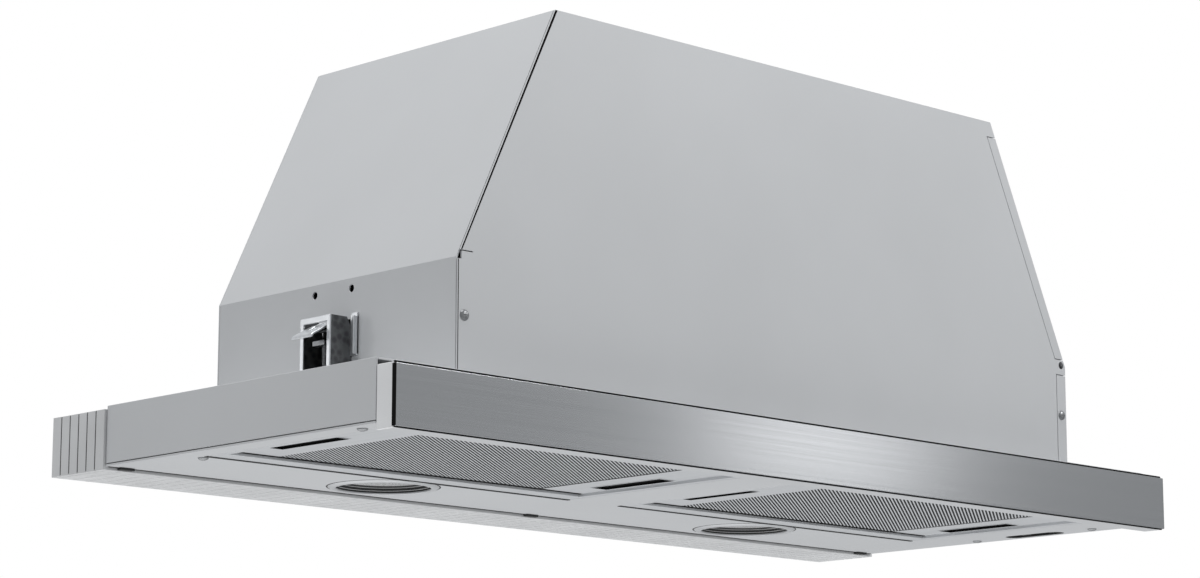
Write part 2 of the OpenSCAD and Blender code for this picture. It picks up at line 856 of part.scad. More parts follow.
module terminal_block() framed() color("ivory") difference() {
    block([terminal_x0, terminal_y0, deck_z],
        [terminal_x0 + terminal_w, terminal_y0 + terminal_d, deck_z + terminal_h]);
    for (way = [1 : terminal_ways])
        translate([terminal_x0 + terminal_w * way / (terminal_ways + 1), 0, 0]) {
            rod_z(terminal_hole_r, 0, terminal_y0 + terminal_d / 2, deck_z + terminal_h - terminal_hole_d,
                deck_z + terminal_h + cut);
            rod_y(terminal_hole_r, 0, terminal_y0 + terminal_d - terminal_hole_d,
                terminal_y0 + terminal_d + cut, deck_z + terminal_h / 3);
        }
}

module cable_gland() framed() color("dimgray") difference() {
    union() {
        rod_y(gland_r, gland_x, body_rear_y - sheet_t - gland_in, body_rear_y + gland_out, gland_z);
        translate([gland_x, body_rear_y + gland_nut_t, gland_z])
            rotate([90, 0, 0])
                cylinder(r = gland_nut_r, h = gland_nut_t, $fn = 6);
        translate([gland_x, body_rear_y - sheet_t, gland_z])
            rotate([90, 0, 0])
                cylinder(r = gland_nut_r, h = gland_nut_t, $fn = 6);
    }
    rod_y(gland_bore_r, gland_x, body_rear_y - sheet_t - gland_in - cut,
        body_rear_y + gland_out + cut, gland_z);
}

module wiring_harness() framed() color("black") {
    half_span = lamp_span / 2;
    rod_x(loom_r, loom_x_end, box_x0 - touch, loom_y, loom_z);
    ball(loom_r, [loom_x_end, loom_y, loom_z]);
    rod_z(lead_r, -half_span, loom_y, lamp_top_z + touch, loom_z);
    rod_z(lead_r, half_span, loom_y, lamp_top_z + touch, deck_z - touch);
    rod_z(lead_r, motor_lead_x, loom_y, loom_z, motor_lead_z);
    ball(lead_r, [motor_lead_x, loom_y, motor_lead_z]);
    rod_y(lead_r, motor_lead_x, fan_y + motor_r + lead_end_gap, loom_y, motor_lead_z);
    rod_x(lead_r, box_x1 + touch, switch_lead_x, switch_lead_y, loom_z);
    ball(lead_r, [switch_lead_x, switch_lead_y, loom_z]);
    rod_z(lead_r, switch_lead_x, switch_lead_y, switch_lead_z, loom_z);
    ball(lead_r, [switch_lead_x, switch_lead_y, switch_lead_z]);
    rod_x(lead_r, switch_lead_x, control_x, switch_lead_y, switch_lead_z);
    ball(lead_r, [control_x, switch_lead_y, switch_lead_z]);
    rod_y(lead_r, control_x, control_y + module_half_len + lead_end_gap, switch_lead_y, switch_lead_z);
}

// Lamps
module lamp_at(side) framed() translate([side * lamp_span / 2, lamp_y, 0]) children();

module lamp_bezel() {
    rotate_extrude() {
        polygon([[lamp_neck_r - neck_wall, bezel_low_z], [bezel_r - bezel_bevel, bezel_low_z],
            [bezel_r, underside_z], [lamp_neck_r - neck_wall, underside_z]]);
        translate([lamp_neck_r - neck_wall, bezel_low_z])
            square([neck_wall, neck_top_z - bezel_low_z]);
    }
}
module lamp_bezel_left() lamp_at(-1) color("silver") lamp_bezel();
module lamp_bezel_right() lamp_at(1) color("silver") lamp_bezel();

module lamp_lens() rod_z(lamp_neck_r - neck_wall - touch, 0, 0, lens_z, lens_z + lens_t);
module lamp_lens_left() lamp_at(-1) color("whitesmoke") lamp_lens();
module lamp_lens_right() lamp_at(1) color("whitesmoke") lamp_lens();

module lamp_body() difference() {
    rod_z(lamp_neck_r, 0, 0, neck_top_z, lamp_top_z);
    for (fin = [1 : lamp_fins])
        translate([0, 0, neck_top_z + fin * lamp_body_h / (lamp_fins + 1)])
            difference() {
                cylinder(r = lamp_neck_r + cut, h = lamp_fin_d);
                cylinder(r = lamp_neck_r - 2 * lamp_fin_d, h = lamp_fin_d);
            }
}
module lamp_body_left() lamp_at(-1) color("gray") lamp_body();
module lamp_body_right() lamp_at(1) color("gray") lamp_body();

// Controls
module stem_slot(y0, travel) {
    block([control_x - stem_slot_w / 2, y0 + knob_len / 2 - stem_slot_w / 2, underside_z],
        [control_x + stem_slot_w / 2, y0 + knob_len / 2 + travel + stem_slot_w / 2, control_top_z + cut]);
}

module control_bezel() framed() color("black") difference() {
    translate([0, 0, underside_z])
        linear_extrude(control_top_z - underside_z)
            control_oval(control_w / 2 - touch, control_len - 2 * touch);
    translate([0, 0, underside_z - cut])
        linear_extrude(control_floor_z - underside_z + cut)
            control_oval(control_w / 2 - touch - control_wall, control_len - 2 * touch - 2 * control_wall);
    stem_slot(fan_y0, fan_travel);
    stem_slot(light_y0, light_travel);
}

module switch_module() framed() color("dimgray") difference() {
    union() {
        block([control_x - control_w / 2, module_foot_y0, panel_top_z + touch],
            [control_x + control_w / 2, module_foot_y1, panel_top_z + touch + sheet_t]);
        block([control_x - control_w / 2 - module_wall, control_y - module_half_len, panel_top_z + touch],
            [control_x + control_w / 2 + module_wall, control_y + module_half_len, module_top_z]);
    }
    translate([0, 0, panel_top_z - cut])
        linear_extrude(control_top_z + touch - panel_top_z + cut)
            control_oval(control_w / 2, control_len);
    block([control_x - control_w / 4, control_y - control_len / 2 + module_wall, panel_top_z],
        [control_x + control_w / 4, control_y + control_len / 2 - module_wall, module_top_z - module_wall]);
    screw_holes_under_long();
}

module screw_holes_under_long() {
    for (place = under_screws_right)
        rod_z(shank_hole_r, half_w - place.x, place.y, underside_z - cut, module_top_z + cut);
}

module slider(y0) {
    block([control_x - knob_w / 2, y0, knob_low_z],
        [control_x + knob_w / 2, y0 + knob_len, control_floor_z - slip]);
    block([control_x - stem_w / 2, y0 + knob_len / 2 - stem_w / 2, knob_low_z],
        [control_x + stem_w / 2, y0 + knob_len / 2 + stem_w / 2, stem_top_z]);
}
module fan_slider() framed() color("silver") slider(fan_y0);
module light_slider() framed() color("silver") slider(light_y0);

// Rails
module rail_outer() {
    difference() {
        block([wall_in - rail_lip, rail_y0, rail_z - rail_h / 2],
            [wall_in, rail_y0 + rail_len, rail_z + rail_h / 2]);
        block([wall_in - rail_lip - cut, rail_y0 - cut, rail_z - rail_h / 2 + rail_t],
            [wall_in - rail_t, rail_y0 + rail_len + cut, rail_z + rail_h / 2 - rail_t]);
    }
}
module rail_outer_left() framed() color("lightgray") on_side(-1) rail_outer();
module rail_outer_right() framed() color("lightgray") on_side(1) rail_outer();

module rail_mid() {
    x1 = wall_in - rail_t - rail_web_gap;
    difference() {
        block([wall_in - rail_lip, rail_y0, rail_z - mid_h / 2],
            [x1, rail_y0 + rail_len, rail_z + mid_h / 2]);
        block([wall_in - rail_lip - cut, rail_y0 - cut, rail_z - mid_h / 2 + rail_t],
            [x1 - rail_t, rail_y0 + rail_len + cut, rail_z + mid_h / 2 - rail_t]);
    }
}
module rail_mid_left() framed() color("silver") on_side(-1) rail_mid();
module rail_mid_right() framed() color("silver") on_side(1) rail_mid();

module rail_inner() {
    x1 = wall_in - rail_t - rail_web_gap - rail_t - rail_inner_gap;
    difference() {
        block([visor_half, base_front_y, rail_z - inner_h / 2],
            [x1, rail_y0 + rail_len, rail_z + inner_h / 2]);
        block([visor_half + rail_t, base_front_y - cut, rail_z - inner_h / 2 + rail_t],
            [x1 + cut, rail_y0 + rail_len + cut, rail_z + inner_h / 2 - rail_t]);
    }
}
module rail_inner_left() framed() color("lightgray") on_side(-1) rail_inner();
module rail_inner_right() framed() color("lightgray") on_side(1) rail_inner();

// Fascia and visor
module fascia_plate() framed() color("silver") {
    block([-half_w, 0, edge_reveal], [half_w, face_t, fascia_h - edge_reveal]);
}

module fascia_core() framed() color("black") {
    difference() {
        union() {
            block([-core_x, face_t, 0], [core_x, fascia_d, fascia_h]);
            block([-half_w + core_lip, face_t, 0], [half_w - core_lip, face_t + core_gap, fascia_h]);
        }
        block([-core_x + core_wall, face_t + core_wall, core_wall],
            [core_x - core_wall, fascia_d - core_wall, fascia_h - core_wall]);
    }
    for (side = [-1, 1])
        on_side(side)
            block([core_x - buffer_w, fascia_d - buffer_d, fascia_h],
                [core_x, fascia_d, fascia_h + buffer_h]);
}

module end_cap() block([half_w - cap_t, face_t + core_gap, 0], [half_w, fascia_d, fascia_h]);
module end_cap_left() framed() color("gainsboro") on_side(-1) end_cap();
module end_cap_right() framed() color("gainsboro") on_side(1) end_cap();

module visor_frame() framed() color("silver") {
    screen_z = visor_z0 + screen_rest_t;
    ledge_in = visor_bar_w + screen_rest_w;
    difference() {
        block([-visor_half, fascia_d, visor_z0], [visor_half, visor_rear_y, visor_z1]);
        block([-visor_half + ledge_in, fascia_d + visor_bar_w / 2 + screen_rest_w, visor_z0 - cut],
            [visor_half - ledge_in, visor_rear_y - visor_bar_w / 2 - screen_rest_w, visor_z1 + cut]);
        block([-visor_half + visor_bar_w, fascia_d + visor_bar_w / 2, screen_z],
            [visor_half - visor_bar_w, visor_rear_y - visor_bar_w / 2, visor_z1 + cut]);
    }
}

module visor_screen() framed() color("lightgray") {
    screen_z = visor_z0 + screen_rest_t;
    block([-visor_half + visor_bar_w + touch, fascia_d + visor_bar_w / 2 + touch, screen_z],
        [visor_half - visor_bar_w - touch, visor_rear_y - visor_bar_w / 2 - touch, screen_z + screen_t]);
}

module visor_magnet() framed() color("dimgray") {
    block([magnet_x, visor_rear_y - magnet_d, visor_z1],
        [magnet_x + magnet_w, visor_rear_y, visor_z1 + magnet_h]);
}

module reed_sensor() framed() color("ivory") {
    x0 = magnet_x + magnet_w + sensor_gap;
    block([x0, deck_open_y1 + sensor_gap, visor_z1 + slip + slip],
        [x0 + sensor_w, deck_open_y1 + sensor_gap + sensor_d, deck_z - sheet_t]);
}

// Filters
module filter_frame(x0) difference() {
    union() {
        difference() {
            block([x0, filter_front_y, underside_z], [x0 + filter_w, filter_rear_y, filter_top_z]);
            block([x0 + rim_side, filter_front_y + rim_front, underside_z - cut],
                [x0 + filter_w - rim_side, window_y1, underside_z + recess_d]);
            block([x0 + filter_t, filter_front_y + filter_t, underside_z + recess_d + filter_t],
                [x0 + filter_w - filter_t, filter_rear_y - filter_t, filter_top_z + cut]);
        }
        block([x0 + window_x0 - filter_t, window_y0 - filter_t, underside_z + recess_d],
            [x0 + window_x1 + filter_t, window_y1 + filter_t, filter_top_z]);
        for (x = [x0 + grip_in, x0 + filter_w - grip_in])
            block([x - grip_w / 2 - filter_t, grip_y - grip_len / 2 - filter_t, underside_z + recess_d],
                [x + grip_w / 2 + filter_t, grip_y + grip_len / 2 + filter_t,
                    underside_z + recess_d + grip_d]);
        for (place_share = [0.2, 0.8])
            translate([x0 + filter_w * place_share - hook_w / 2, filter_front_y - hook_d, hook_z])
                cube([hook_w, hook_d + filter_t, hook_t]);
    }
    block([x0 + window_x0, window_y0, underside_z - cut], [x0 + window_x1, window_y1, filter_top_z + cut]);
    for (x = [x0 + grip_in, x0 + filter_w - grip_in])
        block([x - grip_w / 2, grip_y - grip_len / 2, underside_z - cut],
            [x + grip_w / 2, grip_y + grip_len / 2, underside_z + recess_d + grip_d - filter_t]);
}
module filter_frame_left() framed() color("silver") filter_frame(filter_x_left);
module filter_frame_right() framed() color("silver") filter_frame(filter_x_right);

module filter_mesh(x0) {
    block([x0 + window_x0 + touch, window_y0 + touch, underside_z + recess_d],
        [x0 + window_x1 - touch, window_y1 - touch, filter_top_z - filter_t]);
}
module filter_mesh_left() framed() color("gray") filter_mesh(filter_x_left);
module filter_mesh_right() framed() color("gray") filter_mesh(filter_x_right);

// Side clips, drawn on the right and mirrored to the left
module clip_bracket() {
    x0 = body_half + touch;
    x1 = body_half + clip_out;
    y1 = clip_y0 + clip_w;
    window_z1 = clip_top_z - clip_window_top;
    difference() {
        union() {
            block([x0, clip_y0, deck_z], [x1, clip_y0 + clip_t, clip_top_z]);
            block([x0, y1 - clip_t, deck_z], [x1, y1, clip_top_z]);
            block([x1 - clip_t, clip_y0, deck_z], [x1, y1, clip_top_z]);
            block([x0, clip_y0 - clip_lip_w, clip_lip_z0],
                [x0 + clip_t, clip_y0 + clip_t, clip_top_z + clip_flange_top]);
            block([x0, clip_y0 - clip_lip_w, clip_lip_z0],
                [x0 + clip_lip_out, clip_y0 - clip_lip_w + clip_t, clip_top_z]);
        }
        block([x1 - clip_t - cut, clip_y0 + clip_front_strip, clip_window_z0],
            [x1 + cut, y1 - clip_rear_strip, window_z1]);
        rod_y(pivot_r + pivot_fit, body_half + pivot_in, clip_y0 - cut, y1 + cut, pivot_z);
    }
}
module clip_bracket_left() framed() color("whitesmoke") on_side(-1) clip_bracket();
module clip_bracket_right() framed() color("whitesmoke") on_side(1) clip_bracket();

module clip_lever() {
    y0 = clip_y0 + clip_front_strip + lever_play;
    y1 = clip_y0 + clip_w - clip_rear_strip - lever_play;
    out = body_half + pivot_in;
    knee_x = body_half + lever_knee_out;
    knee_z = clip_top_z - lever_knee_down;
    tip_x = body_half + lever_tip_out;
    tip_z = clip_top_z - lever_tip_down;
    upright_xz(y0, y1)
        polygon([[out, pivot_z + lever_t], [knee_x, knee_z + lever_t / 2], [tip_x, tip_z + lever_t / 2],
            [tip_x, tip_z - lever_t / 2], [knee_x, knee_z - lever_t / 2], [out, pivot_z - lever_t / 2]]);
    rod_y(barrel_r, out, y0, y1, pivot_z);
    rod_y(pivot_r, out, clip_y0, clip_y0 + clip_w, pivot_z);
}
module clip_lever_left() framed() color("gainsboro") on_side(-1) clip_lever();
module clip_lever_right() framed() color("gainsboro") on_side(1) clip_lever();

// Screws
module dome_head() rotate_extrude() intersection() {
    translate([0, screw_head_h - screw_head_r * screw_head_r / screw_head_h / 2 - screw_head_h / 2])
        circle(r = screw_head_r * screw_head_r / screw_head_h / 2 + screw_head_h / 2);
    square([screw_head_r, screw_head_h]);
}

module screw_up(x, y, z) translate([x, y, z]) {
    mirror([0, 0, 1])
        dome_head();
    rod_z(shank_r, 0, 0, 0, shank_len);
}

module clip_screw(side) on_side(side) {
    x = body_half + clip_screw_out;
    y = clip_y0 + clip_screw_y;
    nut_z = clip_top_z - clip_nut_down;
    rod_z(clip_screw_r, x, y, deck_z, nut_z);
    block([x - clip_nut_w / 2, y - clip_nut_w / 2, nut_z - clip_nut_h],
        [x + clip_nut_w / 2, y + clip_nut_w / 2, nut_z]);
}

module housing_screws() framed() color("silver") {
    for (side = [-1, 1]) {
        translate([side * (body_half - cover_screw_in), body_front_y, cover_screw_z])
            rotate([-90, 0, 0])
                screw_up(0, 0, 0);
        clip_screw(side);
    }
    for (place = under_screws_right)
        screw_up(half_w - place.x, place.y, underside_z);
    for (place = under_screws_left)
        screw_up(-half_w + place.x, place.y, underside_z);
}

front_cover();
side_panel_left();
side_panel_right();
rear_panel();
top_panel();
base_wall_left();
base_wall_right();
base_deck();
underside_panel();
depth_spacer();
spacer_clips();
outlet_ring();
flap_front();
flap_rear();
scroll_left();
scroll_right();
impeller();
motor_shaft();
motor();
motor_bracket();
capacitor();
control_box();
control_box_lid();
circuit_board();
terminal_block();
cable_gland();
wiring_harness();
lamp_bezel_left();
lamp_bezel_right();
lamp_lens_left();
lamp_lens_right();
lamp_body_left();
lamp_body_right();
control_bezel();
switch_module();
fan_slider();
light_slider();
rail_outer_left();
rail_outer_right();
rail_mid_left();
rail_mid_right();
rail_inner_left();
rail_inner_right();
fascia_plate();
fascia_core();
end_cap_left();
end_cap_right();
visor_frame();
visor_screen();
visor_magnet();
reed_sensor();
filter_frame_left();
filter_frame_right();
filter_mesh_left();
filter_mesh_right();
clip_bracket_left();
clip_bracket_right();
clip_lever_left();
clip_lever_right();
housing_screws();
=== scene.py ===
import json
import math

import bmesh
import bpy
import numpy as np
from mathutils import Matrix, Vector


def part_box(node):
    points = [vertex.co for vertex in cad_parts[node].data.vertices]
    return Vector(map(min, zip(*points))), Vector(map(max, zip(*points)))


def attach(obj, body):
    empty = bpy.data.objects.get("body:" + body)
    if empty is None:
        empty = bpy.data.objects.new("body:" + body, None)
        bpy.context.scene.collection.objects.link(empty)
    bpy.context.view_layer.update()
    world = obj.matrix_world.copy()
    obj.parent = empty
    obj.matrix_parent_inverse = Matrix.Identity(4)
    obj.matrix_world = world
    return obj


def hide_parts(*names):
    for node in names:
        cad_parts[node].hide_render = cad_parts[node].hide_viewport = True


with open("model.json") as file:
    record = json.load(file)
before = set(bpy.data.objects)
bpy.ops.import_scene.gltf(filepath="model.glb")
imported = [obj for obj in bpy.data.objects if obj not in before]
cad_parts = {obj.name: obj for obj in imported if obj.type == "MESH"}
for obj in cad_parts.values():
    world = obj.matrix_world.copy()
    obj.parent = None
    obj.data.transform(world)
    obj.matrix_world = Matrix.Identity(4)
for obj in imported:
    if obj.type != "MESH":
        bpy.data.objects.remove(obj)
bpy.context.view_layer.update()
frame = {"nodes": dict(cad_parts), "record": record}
NODES = frame["nodes"]
MM = 0.001

# Edges that turn by more degrees than this are rounded; the body's kinks are shallow
SHARP_ANGLE, BODY_SHARP_ANGLE = 35.0, 18.0

# Where the picture was taken from, in the shared frame: place in metres, angles in degrees
CAMERA_PLACE = Vector((-1.2913, -1.3005, -0.2237))
CAMERA_YAW = 44.072
CAMERA_PITCH = 10.742
CAMERA_ROLL = 0.088
LENS_MM = 98.79
SENSOR_MM = 36.0


def make_camera():
    yaw, pitch, roll = (math.radians(a) for a in (CAMERA_YAW, CAMERA_PITCH, CAMERA_ROLL))
    ahead = Vector((math.sin(yaw) * math.cos(pitch), math.cos(yaw) * math.cos(pitch), math.sin(pitch)))
    level = Vector((math.cos(yaw), -math.sin(yaw), 0.0))
    up = level.cross(ahead)
    right = level * math.cos(roll) + up * math.sin(roll)
    top = up * math.cos(roll) - level * math.sin(roll)
    turn = Matrix((right, top, -ahead)).transposed()
    data = bpy.data.cameras.new("camera")
    data.lens = LENS_MM
    data.sensor_width = SENSOR_MM
    data.clip_start = 0.05
    data.clip_end = 60.0
    camera = bpy.data.objects.new("camera", data)
    camera.matrix_world = Matrix.Translation(CAMERA_PLACE) @ turn.to_4x4()
    bpy.context.scene.collection.objects.link(camera)
    bpy.context.scene.camera = camera


make_camera()


# Material building

SHEET_RELIEF, GRAIN_RELIEF = 0.00002, 0.00004  # in metres
EVEN = (1, 1, 1)  # a pattern that isn't stretched along any axis
RAMP_START, RAMP_END = 0.3, 0.7  # share of a noise value


def new_material(name):
    material = bpy.data.materials.new(name)
    material.use_nodes = True
    tree = material.node_tree
    return material, tree, tree.nodes["Principled BSDF"]


def link(tree, out_socket, in_socket):
    tree.links.new(out_socket, in_socket)


def object_coords(tree, scale):
    coords = tree.nodes.new("ShaderNodeTexCoord")
    mapping = tree.nodes.new("ShaderNodeMapping")
    mapping.inputs["Scale"].default_value = scale
    link(tree, coords.outputs["Object"], mapping.inputs["Vector"])
    return mapping.outputs["Vector"]


def noise(tree, scale, detail=3.0, size=1.0, roughness=0.5):
    node = tree.nodes.new("ShaderNodeTexNoise")
    node.inputs["Scale"].default_value = size
    node.inputs["Detail"].default_value = detail
    node.inputs["Roughness"].default_value = roughness
    link(tree, object_coords(tree, scale), node.inputs["Vector"])
    return node.outputs["Fac"]


def spread(tree, value, low, high):
    node = tree.nodes.new("ShaderNodeMapRange")
    node.inputs["From Min"].default_value = RAMP_START
    node.inputs["From Max"].default_value = RAMP_END
    node.inputs["To Min"].default_value = low
    node.inputs["To Max"].default_value = high
    link(tree, value, node.inputs["Value"])
    return node.outputs["Result"]


def colour_mix(tree, value, low, high):
    ramp = tree.nodes.new("ShaderNodeValToRGB")
    ramp.color_ramp.elements[0].position = RAMP_START
    ramp.color_ramp.elements[1].position = RAMP_END
    ramp.color_ramp.elements[0].color = (*low, 1.0)
    ramp.color_ramp.elements[1].color = (*high, 1.0)
    link(tree, value, ramp.inputs["Fac"])
    return ramp.outputs["Color"]


def add_bump(tree, shader, value, strength, distance):
    bump = tree.nodes.new("ShaderNodeBump")
    bump.inputs["Strength"].default_value = strength
    bump.inputs["Distance"].default_value = distance
    link(tree, value, bump.inputs["Height"])
    link(tree, bump.outputs["Normal"], shader.inputs["Normal"])


def shade(grey, cool=0.015):
    return (grey * (1.0 - cool), grey, grey * (1.0 + cool * 1.3))


def coated_steel(name, grey, metallic=0.12, roughness=0.5):
    """Sheet steel under a thin silver coat: fine sparkle and faint clouding in the sheet."""
    material, tree, shader = new_material(name)
    sparkle = noise(tree, EVEN, detail=2.0, size=2600.0)
    clouds = noise(tree, EVEN, detail=3.0, size=9.0)
    link(tree, colour_mix(tree, clouds, shade(grey * 0.975), shade(grey * 1.02)), shader.inputs["Base Color"])
    link(tree, spread(tree, sparkle, roughness - 0.04, roughness + 0.05), shader.inputs["Roughness"])
    shader.inputs["Metallic"].default_value = metallic
    add_bump(tree, shader, sparkle, 0.05, SHEET_RELIEF)
    return material


def brushed_steel(name, grey, along=(6, 900, 5200), metallic=1.0, roughness=0.3):
    """Steel brushed one way, with long fine lines of uneven depth."""
    material, tree, shader = new_material(name)
    fine = noise(tree, along, detail=4.0, roughness=0.7)
    wide = noise(tree, tuple(a / 9.0 for a in along), detail=2.0)
    link(tree, colour_mix(tree, fine, shade(grey * 0.93, 0.02), shade(grey * 1.06, 0.02)),
         shader.inputs["Base Color"])
    link(tree, spread(tree, wide, roughness - 0.012, roughness + 0.015), shader.inputs["Roughness"])
    shader.inputs["Metallic"].default_value = metallic
    add_bump(tree, shader, fine, 0.1, SHEET_RELIEF)
    return material


def moulded(name, grey, roughness=0.5, grain=1500.0, strength=0.12, tint=None):
    """Moulded plastic, rubber or lacquer with a fine spark-eroded grain."""
    material, tree, shader = new_material(name)
    fine = noise(tree, EVEN, detail=2.0, size=grain)
    slow = noise(tree, EVEN, detail=2.0, size=30.0)
    base = tint or shade(grey, 0.006)
    low, high = (tuple(c * k for c in base) for k in (0.94, 1.06))
    link(tree, colour_mix(tree, slow, low, high), shader.inputs["Base Color"])
    link(tree, spread(tree, fine, roughness - 0.06, roughness + 0.06), shader.inputs["Roughness"])
    add_bump(tree, shader, fine, strength, GRAIN_RELIEF)
    return material


def plated(name, grey, roughness=0.32, spangle=120.0, variety=0.04, metallic=1.0):
    """Zinc plate, cast alloy or chrome: bright, with a crystal-like spangle."""
    material, tree, shader = new_material(name)
    cells = tree.nodes.new("ShaderNodeTexVoronoi")
    cells.inputs["Scale"].default_value = spangle
    link(tree, object_coords(tree, EVEN), cells.inputs["Vector"])
    value = cells.outputs["Distance"]
    link(tree, colour_mix(tree, value, shade(grey * (1 - variety), 0.02), shade(grey * (1 + variety), 0.02)),
         shader.inputs["Base Color"])
    link(tree, spread(tree, value, roughness - 0.02, roughness + 0.05), shader.inputs["Roughness"])
    shader.inputs["Metallic"].default_value = metallic
    add_bump(tree, shader, value, 0.05, SHEET_RELIEF)
    return material


MATERIALS = {
    "body_sheet": coated_steel("body_coat", 0.58),
    "base_sheet": coated_steel("base_coat", 0.58),
    "brushed_face": brushed_steel("brushed_face", 0.42, roughness=0.18),
    "cap_plastic": moulded("cap_grey", 0.82, roughness=0.42),
    "black_plastic": moulded("black_moulding", 0.012, roughness=0.58),
    "grey_plastic": moulded("grey_moulding", 0.2, roughness=0.48),
    "zinc_steel": plated("zinc_plate", 0.6),
    "filter_alu": brushed_steel("filter_sheet", 0.6, along=(500, 12, 500), metallic=0.25, roughness=0.45),
    "mesh_alu": plated("mesh_metal", 0.64, roughness=0.5, spangle=900.0, variety=0.04, metallic=0.35),
    "lamp_trim": coated_steel("satin_trim", 0.56, metallic=0.3, roughness=0.42),
    "lamp_lens": moulded("frosted_lens", 0.55, roughness=0.3, grain=900.0, strength=0.05),
    "lamp_alu": plated("cast_alu", 0.1, roughness=0.5, spangle=900.0, variety=0.03),
    "white_plastic": moulded("white_moulding", 0.64, roughness=0.35),
    "board_green": moulded("board_mask", 0.1, roughness=0.3, tint=(0.015, 0.12, 0.045)),
    "shaft_steel": brushed_steel("shaft_ground", 0.5, along=(40, 1500, 1500), metallic=1.0, roughness=0.22),
    "magnet": moulded("magnet_black", 0.04, roughness=0.4),
    "cable_jacket": moulded("cable_jacket", 0.015, roughness=0.5),
    "reflector": moulded("reflector_white", 0.5, roughness=0.3, grain=900.0, strength=0.05),
    # A darker copy of the caps' grey for the spacer and its ribs: painted shade
    "cap_grey_shaded_copy": moulded("cap_grey_painted_shade", 0.63, roughness=0.5),
    "clip_bright": plated("clip_zinc", 0.75, roughness=0.36, spangle=500.0, variety=0.03),
    # A darker copy of the clip zinc: painted shade on the clips' cheeks and lower lever leaves, and the plain
    # dull metal of the motor's end
    "dull_zinc_and_shade": plated("dull_zinc_and_painted_shade", 0.16, roughness=0.5, spangle=300.0, variety=0.25),
    "dark_steel": brushed_steel("dark_steel", 0.06, along=(40, 900, 900), metallic=0.9, roughness=0.35),
    "screen_sheet": brushed_steel("screen_sheet", 0.12, along=(12, 500, 500), metallic=0.6, roughness=0.45),
    "visor_mesh": plated("visor_mesh_metal", 0.36, roughness=0.6, spangle=900.0, variety=0.04, metallic=0.25),
    # Darker copies of the filter mesh metal: painted shade on the falling strands at the face and on the
    # layers behind them
    "crossing_strand_shade": plated("crossing_metal_painted_shade", 0.12, roughness=0.5, spangle=900.0, variety=0.04,
                            metallic=0.35),
    "deep_layer_shade": plated("mesh_deep_metal", 0.035, roughness=0.5, spangle=900.0, variety=0.04, metallic=0.35),
    "screw_steel": plated("screw_zinc", 0.3, roughness=0.38, spangle=900.0),
    "pale_zinc": plated("pale_zinc", 0.34, roughness=0.42, spangle=900.0, variety=0.04, metallic=0.6),
}
# Near black with little sheen: painted shade in hollows, open joints, finger slots, score lines, vents and
# behind the clips' windows, and also the black rubber of the front seals
PAINTED_SHADE_BLACK = moulded("painted_shade_black", 0.004, roughness=0.85)
PAINTED_SHADE_BLACK.node_tree.nodes["Principled BSDF"].inputs["Specular IOR Level"].default_value = 0.1

SLOT_OF = {part["node"]: part["material_slot"] for part in frame["record"]["subparts"]}


def add_bevel(obj, width, sharp=SHARP_ANGLE):
    bevel = obj.modifiers.new("bevel", "BEVEL")
    bevel.width = width
    bevel.segments = 2
    bevel.limit_method = "ANGLE"
    bevel.angle_limit = math.radians(sharp)


def soften_edges(node, width, sharp):
    """Rounds the node's sharp edges a little, as folded sheet and mouldings have them."""
    obj = NODES[node]
    weld = obj.modifiers.new("weld", "WELD")
    weld.merge_threshold = 0.00001
    flat = obj.modifiers.new("flat", "DECIMATE")
    flat.decimate_type = "DISSOLVE"
    flat.angle_limit = math.radians(1.0)
    add_bevel(obj, width, sharp)
    normals = obj.modifiers.new("normals", "WEIGHTED_NORMAL")
    normals.weight = 100


for node_name, slot_name in SLOT_OF.items():
    data = NODES[node_name].data
    data.materials.clear()
    data.materials.append(MATERIALS[slot_name])

# The spacer takes the darker copy of the caps' grey: painted shade
NODES["depth_spacer"].data.materials[0] = MATERIALS["cap_grey_shaded_copy"]

EDGE_MM = {
    "front_cover": 0.3, "side_panel_left": 0.3, "side_panel_right": 0.3, "rear_panel": 0.3, "top_panel": 0.3,
    "base_wall_left": 0.3, "base_wall_right": 0.3, "base_deck": 0.3, "underside_panel": 0.3,
    "depth_spacer": 0.25, "spacer_clips": 0.25, "fascia_plate": 0.25, "end_cap_left": 0.35,
    "end_cap_right": 0.35, "fascia_core": 0.2, "control_bezel": 0.3, "control_box": 0.5,
    "control_box_lid": 0.4, "terminal_block": 0.4, "visor_frame": 0.3, "visor_screen": 0.3,
    "motor_bracket": 0.4, "filter_frame_left": 0.2, "filter_frame_right": 0.2, "rail_outer_left": 0.2,
    "rail_outer_right": 0.2, "rail_mid_left": 0.2, "rail_mid_right": 0.2, "rail_inner_left": 0.2,
    "rail_inner_right": 0.2, "scroll_left": 0.3, "scroll_right": 0.3, "outlet_ring": 0.4, "motor": 0.5,
    "capacitor": 0.5, "switch_module": 0.3, "reed_sensor": 0.3, "visor_magnet": 0.2,
}
for node_name, edge_mm in EDGE_MM.items():
    is_body = SLOT_OF[node_name] == "body_sheet"
    soften_edges(node_name, edge_mm * MM, BODY_SHARP_ANGLE if is_body else SHARP_ANGLE)


# Mesh building. Sizes and places are in millimetres from here on.

AXIS_R = 0.001  # inner radius of a turned profile that closes on its axis
# Columns of a point for an outline's two values and its level, by axis
COLUMNS = {"x": (1, 2, 0), "y": (0, 2, 1), "z": (0, 1, 2)}


def stacked(outlines, axis):
    """The points of 2-D outlines, each at its own level along an axis."""
    across, over, along = COLUMNS[axis]
    parts = []
    for outline, level in outlines:
        part = np.zeros((len(outline), 3))
        part[:, across], part[:, over] = np.array(outline, float).T
        part[:, along] = level
        parts.append(part)
    return np.concatenate(parts)


def corners(low, high):
    (x0, y0), (x1, y1) = low, high
    return [(x0, y0), (x1, y0), (x1, y1), (x0, y1)]


def turns(count, start=0.0):
    """Angles that share a full turn evenly."""
    return [start + step * 2 * math.pi / count for step in range(count)]


